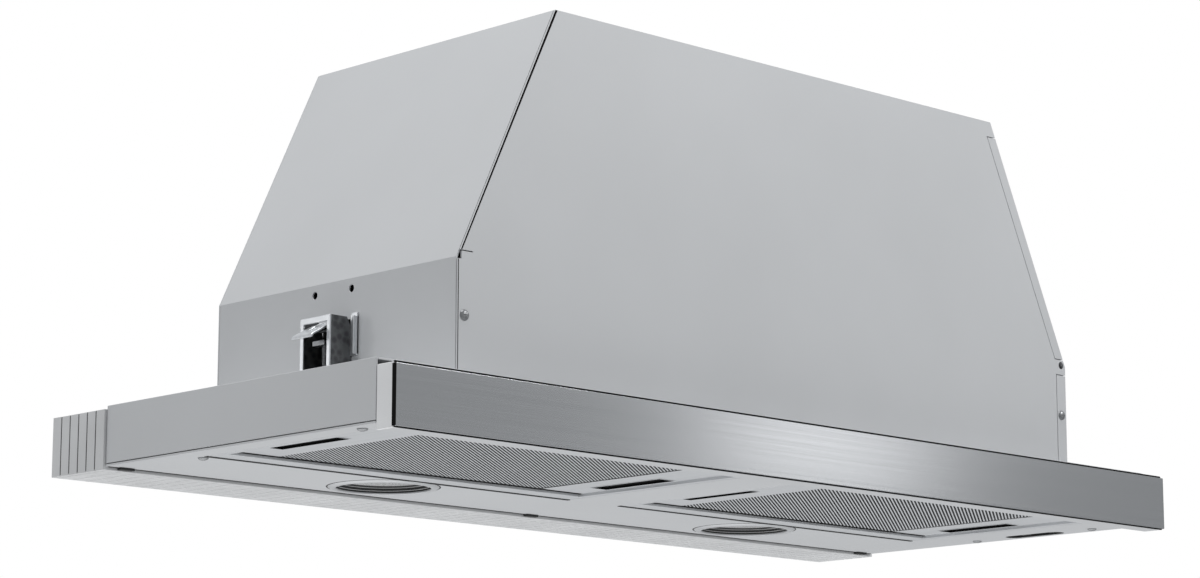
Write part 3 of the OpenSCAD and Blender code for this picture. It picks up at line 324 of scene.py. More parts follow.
def about_x(turn):
    cos, sin = math.cos(turn), math.sin(turn)
    return np.array([[1.0, 0, 0], [0, cos, -sin], [0, sin, cos]])


def about_z(turn):
    cos, sin = math.cos(turn), math.sin(turn)
    return np.array([[cos, -sin, 0], [sin, cos, 0], [0, 0, 1.0]])


class Shape:
    """Collects points and faces of one piece, in millimetres."""

    def __init__(self):
        self.points, self.faces, self.count = [], [], 0

    def add(self, points, faces):
        self.points.append(np.asarray(points, float))
        self.faces.extend(tuple(index + self.count for index in face) for face in faces)
        self.count += len(points)

    def prism(self, outline, low, high, axis):
        """An outline of 2-D points, given thickness along an axis."""
        size = len(outline)
        faces = [tuple(range(size)), tuple(reversed(range(size, 2 * size)))]
        faces += [(i, size + i, size + (i + 1) % size, (i + 1) % size) for i in range(size)]
        self.add(stacked(((outline, low), (outline, high)), axis), faces)

    def box(self, low, high):
        self.prism(corners(low[:2], high[:2]), low[2], high[2], "z")

    def ring(self, outer, inner, low, high, axis):
        """A flat frame between two outlines with the same count of points."""
        size = len(outer)
        faces = []
        for i in range(size):
            j = (i + 1) % size
            for a, b in ((0, 1), (1, 3), (3, 2), (2, 0)):
                faces.append((a * size + i, a * size + j, b * size + j, b * size + i))
        self.add(stacked(((outer, low), (inner, low), (outer, high), (inner, high)), axis), faces)

    def lathe(self, profile, centre, axis="z", steps=64):
        """A closed profile of (radius, height) turned around an axis."""
        size = len(profile)
        angles = np.arange(steps) * 2 * math.pi / steps
        radius = np.array([p[0] for p in profile])
        height = np.array([p[1] for p in profile])
        across = np.outer(np.cos(angles), radius).ravel()
        over = np.outer(np.sin(angles), radius).ravel()
        along = np.tile(height, steps)
        columns = {"z": (across, over, along), "x": (along, across, over), "y": (over, along, across)}[axis]
        points = np.stack(columns, 1) + np.array(centre)
        faces = []
        for step in range(steps):
            a, b = step * size, (step + 1) % steps * size
            faces += [(a + i, b + i, b + (i + 1) % size, a + (i + 1) % size) for i in range(size)]
        self.add(points, faces)

    def tube(self, path, radius, steps=12):
        """A round bar along a path of points."""
        path = [Vector(p) for p in path]
        rings = []
        side = None
        for i, point in enumerate(path):
            ahead = (path[min(i + 1, len(path) - 1)] - path[max(i - 1, 0)]).normalized()
            if side is None:
                side = ahead.orthogonal().normalized()
            side = (side - ahead * side.dot(ahead)).normalized()
            other = ahead.cross(side)
            rings.append([point + side * radius * math.cos(a) + other * radius * math.sin(a)
                          for a in np.arange(steps) * 2 * math.pi / steps])
        points = [p for ring in rings for p in ring]
        faces = [tuple(reversed(range(steps))), tuple(range(len(points) - steps, len(points)))]
        for ring in range(len(rings) - 1):
            a, b = ring * steps, (ring + 1) * steps
            faces += [(a + i, a + (i + 1) % steps, b + (i + 1) % steps, b + i) for i in range(steps)]
        self.add([tuple(p) for p in points], faces)

    def moved(self, other, turn=None, shift=(0, 0, 0)):
        """Adds a copy of another shape, turned and then shifted."""
        points = np.concatenate(other.points)
        if turn is not None:
            points = points @ np.array(turn).T
        self.add(points + np.array(shift), other.faces)


def make_piece(name, shape, body, material, replaces=(), bevel=0.0, smooth=40.0):
    """Makes the shape a named object that rides on a body; bevel in millimetres, smooth in degrees."""
    mesh = bpy.data.meshes.new(name)
    mesh.from_pydata((np.concatenate(shape.points) * MM).tolist(), [], shape.faces)
    work = bmesh.new()
    work.from_mesh(mesh)
    bmesh.ops.recalc_face_normals(work, faces=work.faces)
    work.to_mesh(mesh)
    work.free()
    mesh.materials.append(material)
    piece = bpy.data.objects.new(name, mesh)
    bpy.context.scene.collection.objects.link(piece)
    if bevel:
        add_bevel(piece, bevel * MM)
    mesh.shade_smooth()
    mesh.set_sharp_from_angle(angle=math.radians(smooth))
    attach(piece, body)
    if replaces:
        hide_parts(*replaces)


def box_mm(node):
    low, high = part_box(node)
    return [v / MM for v in low], [v / MM for v in high]


# Filter mesh: layers of expanded sheet

def lattice(shape, low, high, level, pitch_x, pitch_y, width, depth, phase, kept="both"):
    """Diamond cells of flat strands; kept picks the rising strands, the falling ones or both."""
    x0, y0 = low[:2]
    columns = int((high[0] - x0) / pitch_x)
    rows = int((high[1] - y0) / pitch_y)
    step_x = (high[0] - x0) / columns
    step_y = (high[1] - y0) / rows
    i, j = np.meshgrid(np.arange(2 * columns), np.arange(2 * rows), indexing="ij")
    i, j = i.ravel(), j.ravel()
    rising = (i + j + phase) % 2 == 0
    if kept != "both":
        chosen = rising if kept == "rising" else ~rising
        i, j, rising = i[chosen], j[chosen], rising[chosen]
    start_y = np.where(rising, j, j + 1)
    end_y = np.where(rising, j + 1, j)
    start = np.stack([x0 + i * step_x / 2, y0 + start_y * step_y / 2, np.full(len(i), level)], 1)
    end = np.stack([x0 + (i + 1) * step_x / 2, y0 + end_y * step_y / 2, np.full(len(i), level)], 1)
    along = end - start
    side = np.stack([-along[:, 1], along[:, 0], np.zeros(len(along))], 1)
    side *= (width / 2 / np.linalg.norm(side, axis=1))[:, None]
    rise = np.array([0.0, 0.0, depth])
    section = [start + side, start - side, start + rise, end + side, end - side, end + rise]
    points = np.stack(section, 1).reshape(-1, 3)
    base = np.arange(len(i)) * 6
    quads = np.concatenate([np.stack([base + a for a in quad], 1)
                            for quad in ((0, 3, 4, 1), (1, 4, 5, 2), (2, 5, 3, 0))])
    shape.add(points, quads.tolist())


# Layers at the filter's face: rise above the slab's low face, strand width and which strands; the falling
# strands are a darker copy of the mesh metal, painted shade
FACE_PITCH, FACE_DEPTH = (3.1, 2.38), 0.06
FACE_LAYERS = (("layers", "mesh_alu", 0.1, 0.8, "rising"),
               ("crossing", "crossing_strand_shade", 0.2, 0.42, "falling"))
# Layers behind them: rise, pitch in X and Y, strand width and phase; they are near black, painted shade deep
# in the filter
DEEP_DEPTH = 0.4
DEEP_LAYERS = ((1.6, 4.6, 3.5, 1.1, 1), (3.4, 4.2, 3.2, 1.3, 0), (5.6, 3.4, 2.6, 1.1, 1))


def make_filter_mesh(side):
    node = f"filter_mesh_{side}"
    low, high = box_mm(node)
    for name, material, rise, width, kept in FACE_LAYERS:
        face = Shape()
        lattice(face, low, high, low[2] + rise, *FACE_PITCH, width, FACE_DEPTH, 0, kept)
        make_piece(f"mesh_{name}_{side}", face, f"filter_{side}", MATERIALS[material], [node])
    deep = Shape()
    for rise, pitch_x, pitch_y, width, phase in DEEP_LAYERS:
        lattice(deep, low, high, low[2] + rise, pitch_x, pitch_y, width, DEEP_DEPTH, phase)
    make_piece(f"mesh_deep_{side}", deep, f"filter_{side}", MATERIALS["deep_layer_shade"], [node])


def make_visor_mesh():
    """Stretched sheet on both faces of the visor's grease screen, with a plain rim left around it."""
    low, high = box_mm("visor_screen")
    rim, pitch, width, depth = 7.0, (6.4, 4.4), 1.2, 0.28
    inner_low, inner_high = [v + rim for v in low[:2]], [v - rim for v in high[:2]]
    screen = Shape()
    for level in (low[2] - 0.3, high[2] + 0.02):
        lattice(screen, inner_low, inner_high, level, *pitch, width, depth, 0)
    make_piece("visor_mesh", screen, "visor", MATERIALS["visor_mesh"])
    NODES["visor_screen"].data.materials[0] = MATERIALS["screen_sheet"]


for side_name in ("left", "right"):
    make_filter_mesh(side_name)
make_visor_mesh()


# Lamps: a bevelled ring, a throat whose black rings are painted shade between pale steps, and a frosted
# cover.
# Profiles as (radius, height above the ring's face); the last shade ring is a painted shadow line around the
# ring.

LAMP_STEPS = 96
LAMP_RING = [(26.0, 0.5), (26.6, 0.1), (27.6, 0.0), (28.3, 0.05), (30.1, 1.0), (30.5, 1.35), (30.5, 1.75),
             (27.6, 1.75), (27.6, 7.6), (26.9, 7.6), (26.9, 1.5), (26.0, 1.2)]
LAMP_SHADE_RINGS = [
    [(26.6, 0.9), (26.3, 0.9), (25.9, 2.2), (26.6, 2.2)],
    [(26.6, 2.5), (25.2, 2.5), (24.8, 3.7), (26.6, 3.7)],
    [(26.6, 4.0), (24.0, 4.0), (23.4, 4.8), (26.6, 4.8)],
    [(30.45, 1.18), (31.0, 1.2), (31.15, 1.29), (30.45, 1.29)],
]
LAMP_REFLECTOR = [
    [(26.6, 2.2), (25.6, 2.2), (25.4, 2.35), (25.6, 2.5), (26.6, 2.5)],
    [(26.6, 3.7), (24.6, 3.7), (24.4, 3.85), (24.6, 4.0), (26.6, 4.0)],
    [(26.6, 4.8), (22.8, 4.8), (20.5, 5.1), (20.5, 5.4), (26.6, 5.4)],
]
LAMP_COVER = [(AXIS_R, 4.8), (3.4, 4.8), (3.9, 4.95), (8.2, 4.84), (8.7, 5.0), (13.2, 4.9), (13.7, 5.05),
              (18.2, 4.95), (18.7, 5.1), (20.45, 5.1), (20.45, 5.4), (AXIS_R, 5.4)]


def make_lamp(side):
    bezel = f"lamp_bezel_{side}"
    low, high = box_mm(bezel)
    centre = ((low[0] + high[0]) / 2, (low[1] + high[1]) / 2, low[2])
    ring, throat, reflector, cover = Shape(), Shape(), Shape(), Shape()
    ring.lathe(LAMP_RING, centre, steps=LAMP_STEPS)
    for shape, profiles in ((throat, LAMP_SHADE_RINGS), (reflector, LAMP_REFLECTOR)):
        for profile in profiles:
            shape.lathe(profile, centre, steps=LAMP_STEPS)
    cover.lathe(LAMP_COVER, centre)
    make_piece(f"lamp_ring_{side}", ring, "housing", MATERIALS["lamp_trim"], [bezel],
               smooth=30.0)
    # The throat's black rings are painted shade
    make_piece(f"lamp_throat_shade_{side}", throat, "housing", MATERIALS["black_plastic"],
               smooth=25.0)
    make_piece(f"lamp_reflector_{side}", reflector, "housing", MATERIALS["reflector"],
               smooth=25.0)
    make_piece(f"lamp_cover_{side}", cover, "housing", MATERIALS["lamp_lens"], [f"lamp_lens_{side}"])


for side_name in ("left", "right"):
    make_lamp(side_name)


# Screws: low domed heads with a cross recess, and the long ones that hang in the clips

def cross_head(radius, height):
    """A domed head that stands along +Z, its cross slot cut as four wedges."""
    steps, slot_width, slot_up = 48, 0.975, 0.45
    around = [(radius * math.cos(turn), radius * math.sin(turn)) for turn in turns(steps)]
    dome = [(1.0, 0.0), (0.985, 0.22), (0.9, 0.52), (0.72, 0.8), (0.5, 0.94)]
    points = [(x * share, y * share, height * up) for share, up in dome for x, y in around]
    for x, y in around:
        in_slot = max(abs(x), abs(y)) > slot_width * radius
        share, up = (0.44, slot_up) if in_slot else (0.15, 1.0)
        points.append((x * share, y * share, height * up))
    faces = []
    for ring in range(len(dome)):
        for step in range(steps):
            a, b = ring * steps + step, ring * steps + (step + 1) % steps
            faces.append((a, b, b + steps, a + steps))
    centre = len(points)
    inner = centre - steps
    points.append((0.0, 0.0, height * slot_up))
    faces += [(inner + i, inner + (i + 1) % steps, centre) for i in range(steps)]
    points += [(x, y, 0.0) for x, y in around]
    faces.append(tuple(range(centre + steps, centre, -1)))
    head = Shape()
    head.add(points, faces)
    return head


TURN_TO = {
    "down": np.diag([1.0, -1.0, -1.0]),
    "front": np.array([[1.0, 0, 0], [0, 0, -1.0], [0, 1.0, 0]]),
    "back": np.array([[1.0, 0, 0], [0, 0, 1.0], [0, 1.0, 0]]),
}


def find_screws():
    """Reads the places of the solids in the screws' node: one box for each."""
    mesh = NODES["housing_screws"].data
    work = bmesh.new()
    work.from_mesh(mesh)
    bmesh.ops.remove_doubles(work, verts=work.verts, dist=1e-5)
    seen, boxes = set(), []
    for start in work.verts:
        if start in seen:
            continue
        stack, group = [start], []
        seen.add(start)
        while stack:
            vert = stack.pop()
            group.append(vert.co.copy())
            for edge in vert.link_edges:
                other = edge.other_vert(vert)
                if other not in seen:
                    seen.add(other)
                    stack.append(other)
        low = [min(p[k] for p in group) / MM for k in range(3)]
        high = [max(p[k] for p in group) / MM for k in range(3)]
        boxes.append((low, high))
    work.free()
    return boxes


HEAD_R, HEAD_H = 2.8, 1.3
SHANK = [(AXIS_R, 0.0), (1.5, 0.0), (1.5, 4.6), (1.1, 5.0), (AXIS_R, 5.0)]
SHORT_SCREW_H = 8.0  # a clip's screw stands taller than this


def add_clip_screw(shape, x, y, low_z, high_z):
    """A threaded rod below a square nut, with a thin washer on top."""
    minor_r, major_r, pitch, half_nut = 1.65, 2.0, 0.7, 4.7
    thread = [(AXIS_R, low_z)]
    z = low_z
    while z < high_z - 3.2:
        thread += [(minor_r, z), (major_r, z + 0.25), (minor_r, z + 0.5)]
        z += pitch
    thread += [(minor_r, high_z - 2.6), (AXIS_R, high_z - 2.6)]
    shape.lathe(thread, (x, y, 0.0), steps=32)
    shape.box((x - half_nut, y - half_nut, high_z - 2.6), (x + half_nut, y + half_nut, high_z - 0.2))
    shape.lathe([(AXIS_R, 0.0), (3.1, 0.0), (3.1, -0.2), (2.6, -0.4), (AXIS_R, -0.4)],
                (x, y, high_z + 0.2), steps=32)


def make_screws():
    shape, under = Shape(), Shape()
    head = cross_head(HEAD_R, HEAD_H)
    for low, high in find_screws():
        x, y, z = ((a + b) / 2 for a, b in zip(low, high))
        size = [b - a for a, b in zip(low, high)]
        if size[2] >= SHORT_SCREW_H:
            add_clip_screw(shape, x, y + 1.6, low[2], high[2])
        elif size[1] > size[0] + 0.3:
            place = (x, low[1] + HEAD_H, z)
            shape.moved(head, TURN_TO["front"], place)
            shape.lathe(SHANK, place, "y", 32)
        else:
            place = (x, y, low[2] + HEAD_H)
            under.moved(head, TURN_TO["down"], place)
            under.lathe(SHANK, place, "z", 32)
    for name, screws, material in (("under", under, "pale_zinc"), ("cross", shape, "screw_steel")):
        make_piece(f"{name}_screws", screws, "housing", MATERIALS[material], ["housing_screws"],
                   smooth=30.0)


make_screws()


# Side clips: a windowed outward plate, two cheeks, a lip on the wall and a sprung two-leaf lever, with
# painted shade on the cheeks, the lower leaf and behind the window

BODY_SIDE_X = 239.6  # outer face of the body's side walls


def outward(side, reach):
    """X of a point that stands out from the body's side wall, on either side."""
    return side * (BODY_SIDE_X + reach)


def side_span(side, low, high):
    return sorted((outward(side, low), outward(side, high)))


CLIP_FRONT, CLIP_REAR, CLIP_FOOT, CLIP_TOP = -33.6, -9.9, 35.0, 73.0
PLATE_OUT = (13.4, 14.4)  # reach of the outward plate's two faces
PIVOT_OUT, PIVOT_Z = 3.9, 69.3


def make_clip(name, side):
    def sideways(outline):
        return [(outward(side, reach), z) for reach, z in outline]

    def clip_piece(piece, shape, material, bevel, moving=False):
        body, node = (f"lever_{name}", "clip_lever") if moving else ("housing", "clip_bracket")
        make_piece(f"{piece}_{name}", shape, body, MATERIALS[material], [f"{node}_{name}"],
                   bevel=bevel)

    front, rear, foot, top = CLIP_FRONT, CLIP_REAR, CLIP_FOOT, CLIP_TOP
    plate = Shape()
    window = corners((front + 2.5, foot + 4.0), (rear - 2.6, top - 3.2))
    plate.ring(corners((front, foot), (rear, top)), window, *side_span(side, *PLATE_OUT), "x")
    clip_piece("clip_frame", plate, "clip_bright", 0.25)
    cheeks, bead = Shape(), Shape()
    outline = sideways([(0.0, foot), (PLATE_OUT[0], foot), (PLATE_OUT[0], top), (3.2, top), (0.9, top - 4.6),
                        (0.0, top - 8.2)])
    for y in (front, rear - 1.0):
        cheeks.prism(outline, y, y + 1.0, "y")
    bead.lathe([(AXIS_R, -0.12), (1.7, -0.12), (2.1, 0.0), (2.1, 0.3), (AXIS_R, 0.3)], (0, 0, 0), "y", 32)
    for z in (44.0, 52.0):
        cheeks.moved(bead, None, (outward(side, 7.0), front, z))
    # The cheeks take the darker zinc copy: painted shade on their faces
    clip_piece("clip_cheeks", cheeks, "dull_zinc_and_shade", 0.15)
    lip = Shape()
    lip.prism([(front - 5.2, 52.8), (front, 52.8), (front, 73.6), (front - 1.2, 75.0), (front - 5.2, 75.0)],
              *side_span(side, 0.0, 1.0), "x")
    x0, x1 = side_span(side, 0.0, 3.4)
    lip.box((x0, front - 5.2, 53.4), (x1, front - 4.2, 73.0))
    clip_piece("clip_lip", lip, "clip_bright", 0.2)
    # A near-black plate on the wall behind the window: painted shade inside the clip
    backing = Shape()
    x0, x1 = side_span(side, 0.04, 0.3)
    backing.box((x0, front + 1.1, foot + 0.3), (x1, rear - 1.1, top - 0.8))
    make_piece(f"clip_window_shade_{name}", backing, "housing", PAINTED_SHADE_BLACK, bevel=0.05)

    leaf = Shape()
    leaf.prism(sideways([(PIVOT_OUT, PIVOT_Z + 2.3), (9.0, 69.9), (13.2, 67.9), (21.7, 63.1), (22.5, 62.5),
                         (22.8, 61.6), (22.8, 60.85), (22.0, 60.85), (21.2, 62.3), (12.9, 66.9), (8.8, 68.9),
                         (PIVOT_OUT, PIVOT_Z + 1.4)]), -29.3, -13.4, "y")
    pivot = (outward(side, PIVOT_OUT), 0, PIVOT_Z)
    for y0, y1 in ((-29.2, -24.0), (-18.6, -13.5)):
        leaf.lathe([(1.5, y0), (2.5, y0), (2.5, y1), (1.5, y1)], pivot, "y", 32)
    ridge = sideways([(8.0, 70.2), (10.5, 69.4), (13.3, 68.0), (17.5, 65.3)])
    leaf.tube([(x, -21.3, z) for x, z in ridge], 0.7)
    clip_piece("lever_leaf", leaf, "clip_bright", 0.2, moving=True)
    # The lower leaf takes the darker zinc copy: painted shade under the upper leaf
    low_leaf = Shape()
    low_leaf.prism(sideways([(PIVOT_OUT - 0.6, PIVOT_Z - 1.4), (8.6, 67.2), (10.6, 66.1), (10.6, 65.3),
                             (8.4, 66.4), (PIVOT_OUT - 0.6, PIVOT_Z - 2.3)]), -27.4, -15.4, "y")
    clip_piece("lever_spring", low_leaf, "dull_zinc_and_shade", 0.15, moving=True)
    # A blackened steel pin with its coil; its near-black end also stands in for the shade of the pivot hole
    pin = Shape()
    pin.lathe([(AXIS_R, -33.3), (1.1, -33.3), (1.4, -33.0), (1.4, -10.5), (1.1, -10.2), (AXIS_R, -10.2)],
              pivot, "y", 32)
    coil_r, coil_pitch, coil_turns = 2.0, 0.75, 6
    coil = [(pivot[0] + coil_r * math.cos(a), -23.6 + a / (2 * math.pi) * coil_pitch,
             PIVOT_Z + coil_r * math.sin(a)) for a in np.linspace(0, 2 * math.pi * coil_turns, 150)]
    pin.tube(coil, 0.3, 8)
    clip_piece("lever_pin", pin, "dark_steel", 0.0, moving=True)


make_clip("left", -1)
make_clip("right", 1)


# Body: the open joint between the left side sheet and the front cover, drawn as near-black painted shade

KINK_Z, BODY_TOP_X = 93.4, 174.6  # where the body starts to taper, and half its width on top


def make_body_joint():
    """A dark line of painted shade up the slanted corner from the notch at the kink, and one below the notch.
    """
    low, high = box_mm("front_cover")
    y0, y1 = low[1] - 0.06, low[1] + 0.5
    foot_z, top_z = KINK_Z + 3.7, high[2] - 0.2
    lean = (-BODY_TOP_X - low[0]) / (high[2] - KINK_Z)
    foot_x, top_x = low[0] + lean * (foot_z - KINK_Z), -BODY_TOP_X
    joint = Shape()
    joint.prism([(foot_x + 0.05, foot_z), (foot_x + 0.95, foot_z), (top_x + 1.5, top_z),
                 (top_x + 0.05, top_z)], y0, y1, "y")
    joint.box((low[0] + 0.05, y0, low[2] + 0.2), (low[0] + 0.5, y1, KINK_Z - 1.4))
    make_piece("body_joint_shade_left", joint, "housing", PAINTED_SHADE_BLACK)


make_body_joint()


# Pull-out front: a black seal along the top, the ends and the foot, near black so it also paints the shadow
# gaps round the plate, and a pale folded return below

SEAL_END_X = 299.0


def make_front_core():
    low, high = box_mm("fascia_core")
    x0, x1, y0, y1, top = low[0], high[0], low[1] + 0.02, high[1], 31.9
    seal, core, seal_low, fold = Shape(), Shape(), Shape(), Shape()
    seal.prism([(y0, 1.0), (y0 + 1.8, 1.0), (y0 + 1.8, top - 0.4), (y0 + 1.4, top), (y0 + 0.5, top),
                (y0, top - 0.5)], x0, x1, "x")
    # The thin end boxes are painted shade in the gaps to the end caps
    for end in (-SEAL_END_X, SEAL_END_X):
        seal.box((end - 0.1, low[1] - 1.18, 0.7), (end + 0.1, y0 + 1.75, 30.5))
    core.prism([(y0 + 1.82, 1.0), (y1, 1.0), (y1, 30.8), (y1 - 0.6, 31.4), (y0 + 1.82, 31.4)], x0, x1, "x")
    seal_low.prism([(y0, 0.98), (y0, 0.3), (y0 + 0.2, 0.04), (y0 + 0.9, 0.04), (y0 + 1.1, 0.3),
                    (y0 + 1.1, 0.98)], x0, x1, "x")
    fold_y = y0 + 1.15
    fold.prism([(fold_y, 0.55), (fold_y + 0.55, 0.05), (y1 - 0.3, 0.05), (y1, 0.35), (y1, 0.98),
                (fold_y, 0.98)], x0, x1, "x")
    for name, shape, material, slot, bevel in (
            ("seal", seal, PAINTED_SHADE_BLACK, "black_plastic", 0.15),
            ("channel", core, MATERIALS["base_sheet"], "base_sheet", 0.15),
            ("seal_low", seal_low, PAINTED_SHADE_BLACK, "black_plastic", 0.0),
            ("return", fold, MATERIALS["base_sheet"], "base_sheet", 0.1)):
        make_piece(f"front_{name}", shape, "visor", material, ["fascia_core"], bevel=bevel)


make_front_core()


# Filters: painted shade as dark joints and as dark pockets in the finger slots, with raised lips round the
# slots

def strip(shape, low, high, lift):
    """A low bar with sloped long edges, lying under a sheet."""
    (x0, y0, z0), (x1, y1, z1) = low, high
    if x1 - x0 > y1 - y0:
        outline = [(y0, z1), (y0 + lift, z0), (y1 - lift, z0), (y1, z1)]
        shape.prism(outline, x0, x1, "x")
    else:
        outline = [(x0, z1), (x0 + lift, z0), (x1 - lift, z0), (x1, z1)]
        shape.prism(outline, y0, y1, "y")


def grown(low, high, by):
    return corners([v - by for v in low], [v + by for v in high])


PANEL_FACE, FRAME_FACE = 3.3, 5.0  # lower faces of the underside and of the filter frames' sheet
GRIP_Y, GRIP_W, GRIP_LEN = -39.3, 11.0, 52.0  # finger slots: middle, width and length
GRIP_IN = 13.0  # from the frame's end to the middle of its finger slot


def make_filter_details(side):
    low, high = box_mm(f"filter_frame_{side}")
    mesh_low, mesh_high = box_mm(f"filter_mesh_{side}")
    edge, joint, pockets, lips = Shape(), Shape(), Shape(), Shape()
    strip(edge, (low[0] + 4.2, mesh_high[1] - 1.6, FRAME_FACE - 0.35),
          (high[0] - 4.2, mesh_high[1], FRAME_FACE - 0.05), 0.2)
    strip(edge, (mesh_high[0] - 0.8, mesh_low[1], FRAME_FACE - 0.15),
          (mesh_high[0], mesh_high[1], FRAME_FACE - 0.02), 0.1)
    make_piece(f"mesh_shadow_gap_{side}", edge, f"filter_{side}", PAINTED_SHADE_BLACK)
    # A black strip along the frame's rear edge: painted shade in the gap to the underside
    strip(joint, (low[0] - 0.4, high[1], PANEL_FACE - 0.35),
          (high[0] + 0.4, high[1] + 2.5, PANEL_FACE + 0.15), 0.15)
    make_piece(f"filter_joint_shade_{side}", joint, "housing", MATERIALS["black_plastic"])
    # Near-black pockets in the finger slots: painted shade
    for x in (low[0] + GRIP_IN, high[0] - GRIP_IN):
        slot = ((x - GRIP_W / 2, GRIP_Y - GRIP_LEN / 2), (x + GRIP_W / 2, GRIP_Y + GRIP_LEN / 2))
        wall, inside = grown(*slot, -0.05), grown(*slot, -0.45)
        pockets.prism(wall, PANEL_FACE + 2.6, PANEL_FACE + 3.0, "z")
        pockets.ring(wall, inside, FRAME_FACE - 0.3, PANEL_FACE + 2.62, "z")
        lips.ring(grown(*slot, 0.7), corners(*slot), FRAME_FACE - 0.2, FRAME_FACE, "z")
    make_piece(f"grip_pocket_shade_{side}", pockets, f"filter_{side}", PAINTED_SHADE_BLACK,
               bevel=0.05)
    make_piece(f"grip_lips_{side}", lips, f"filter_{side}", MATERIALS["filter_alu"],
               bevel=0.08)


# Spacer: fine ribs under its snap-off strips, and painted shade as dark scores at the ends and a dark joint
# towards the base

SPACER_STRIPS, RIB_PITCH, RIB_GAP = 6, 8.8, 0.7


def make_spacer_details():
    low, high = box_mm("depth_spacer")
    ribs, scores, joint = Shape(), Shape(), Shape()
    margin = 3.0
    count = int((high[0] - low[0] - 2 * margin) / RIB_PITCH)
    step = (high[0] - low[0] - 2 * margin) / count
    pitch = (high[1] - low[1]) / SPACER_STRIPS
    for row in range(SPACER_STRIPS):
        y = low[1] + row * pitch
        for i in range(count):
            x = low[0] + margin + i * step
            strip(ribs, (x + RIB_GAP, y + RIB_GAP, low[2] - 0.12),
                  (x + step - RIB_GAP, y + pitch - RIB_GAP, low[2] + 0.02), 0.25)
    make_piece("spacer_ribs", ribs, "housing", MATERIALS["cap_grey_shaded_copy"])
    # The scores are near-black boxes: painted shade in the cuts
    for row in range(1, SPACER_STRIPS):
        y = low[1] + row * pitch
        for side in (-1, 1):
            x0, x1 = sorted((side * (high[0] - 0.75), side * (high[0] - 0.35)))
            scores.box((x0, y - 0.38, low[2] + 0.8), (x1, y + 0.38, high[2] - 0.1))
    make_piece("spacer_score_shade", scores, "housing", PAINTED_SHADE_BLACK)
    # A black strip at the joint to the base: painted shade in the gap
    strip(joint, (-297.5, low[1] - 1.6, PANEL_FACE - 0.3), (297.5, low[1] - 0.3, PANEL_FACE + 0.02), 0.2)
    make_piece("spacer_joint_shade", joint, "housing", MATERIALS["black_plastic"])


for side_name in ("left", "right"):
    make_filter_details(side_name)
make_spacer_details()


# Duct outlet: beads and ribs on the collar, screws in its flange, stiffened flaps

OUTLET_Y = 4.7  # middle of the duct


def make_outlet_details():
    collar, rib, screws = Shape(), Shape(), Shape()
    for level in (239.0, 244.6):
        collar.lathe([(59.3, level - 0.9), (60.1, level - 0.3), (60.1, level + 0.3), (59.3, level + 0.9)],
                     (0, OUTLET_Y, 0), "z", 96)
    rib.prism([(59.2, 232.6), (64.6, 232.6), (60.0, 237.6), (59.2, 237.6)], -0.6, 0.6, "y")
    for turn in turns(16, 0.2):
        collar.moved(rib, about_z(turn), (0, OUTLET_Y, 0))
    make_piece("outlet_ribs", collar, "housing", MATERIALS["black_plastic"], bevel=0.15)
    head, screw_ring_r, flange_top = cross_head(2.3, 1.2), 66.0, 232.85
    for turn in turns(4, math.pi / 4):
        screws.moved(head, None, (screw_ring_r * math.cos(turn), OUTLET_Y + screw_ring_r * math.sin(turn),
                                  flange_top))
    make_piece("outlet_screws", screws, "housing", MATERIALS["zinc_steel"], smooth=30.0)
    flap_r, rim_r = 57.0, 54.0
    for name, side in (("front", -1), ("rear", 1)):
        ribs = Shape()
        for x in range(-42, 43, 14):
            reach = math.sqrt(flap_r ** 2 - x ** 2) - 3.0
            y0, y1 = sorted((OUTLET_Y + side * 5.2, OUTLET_Y + side * reach))
            ribs.prism([(x - 0.9, 235.45), (x + 0.9, 235.45), (x + 0.5, 236.7), (x - 0.5, 236.7)],
                       y0, y1, "y")
        ribs.tube([(rim_r * math.cos(a), OUTLET_Y + side * rim_r * math.sin(a), 235.6)
                   for a in np.linspace(0.13, 3.01, 60)], 0.7, 8)
        make_piece(f"flap_ribs_{name}", ribs, f"damper_{name}", MATERIALS["grey_plastic"],
                   bevel=0.1)


make_outlet_details()


# Cable entry: a ribbed dome nut, a rubber seal and the thread inside the back

def make_gland_details():
    low, high = box_mm("cable_gland")
    x, z = (low[0] + high[0]) / 2, (low[2] + high[2]) / 2
    nut = Shape()
    nut.lathe([(8.05, 83.5), (9.1, 83.5), (9.4, 83.9), (9.4, 87.6), (8.8, 89.6), (7.6, 90.9), (6.1, 91.25),
               (6.1, 90.4), (8.05, 89.4)], (x, 0, z), "y", 64)
    grip = Shape()
    grip.prism([(9.2, -0.5), (10.0, -0.35), (10.0, 0.35), (9.2, 0.5)], 84.2, 87.4, "z")
    for turn in turns(18):
        nut.moved(grip, TURN_TO["back"] @ about_z(turn), (x, 0, z))
    thread = []
    y = 69.0
    while y < 76.0:
        thread += [(8.05, y), (8.5, y + 0.35), (8.05, y + 0.7)]
        y += 1.0
    nut.lathe(thread + [(7.9, 76.0), (7.9, 69.0)], (x, 0, z), "y", 48)
    make_piece("gland_nut", nut, "housing", MATERIALS["black_plastic"], smooth=30.0)
    seal = Shape()
    seal.lathe([(4.6, 90.2), (5.0, 91.0), (5.9, 91.1), (6.0, 89.5), (4.6, 88.6)], (x, 0, z), "y", 48)
    make_piece("gland_seal", seal, "housing", MATERIALS["cable_jacket"])


make_gland_details()


# Rivets in the back and the top of the body

REAR_FACE_Y, TOP_FACE_Z = 77.25, 230.85


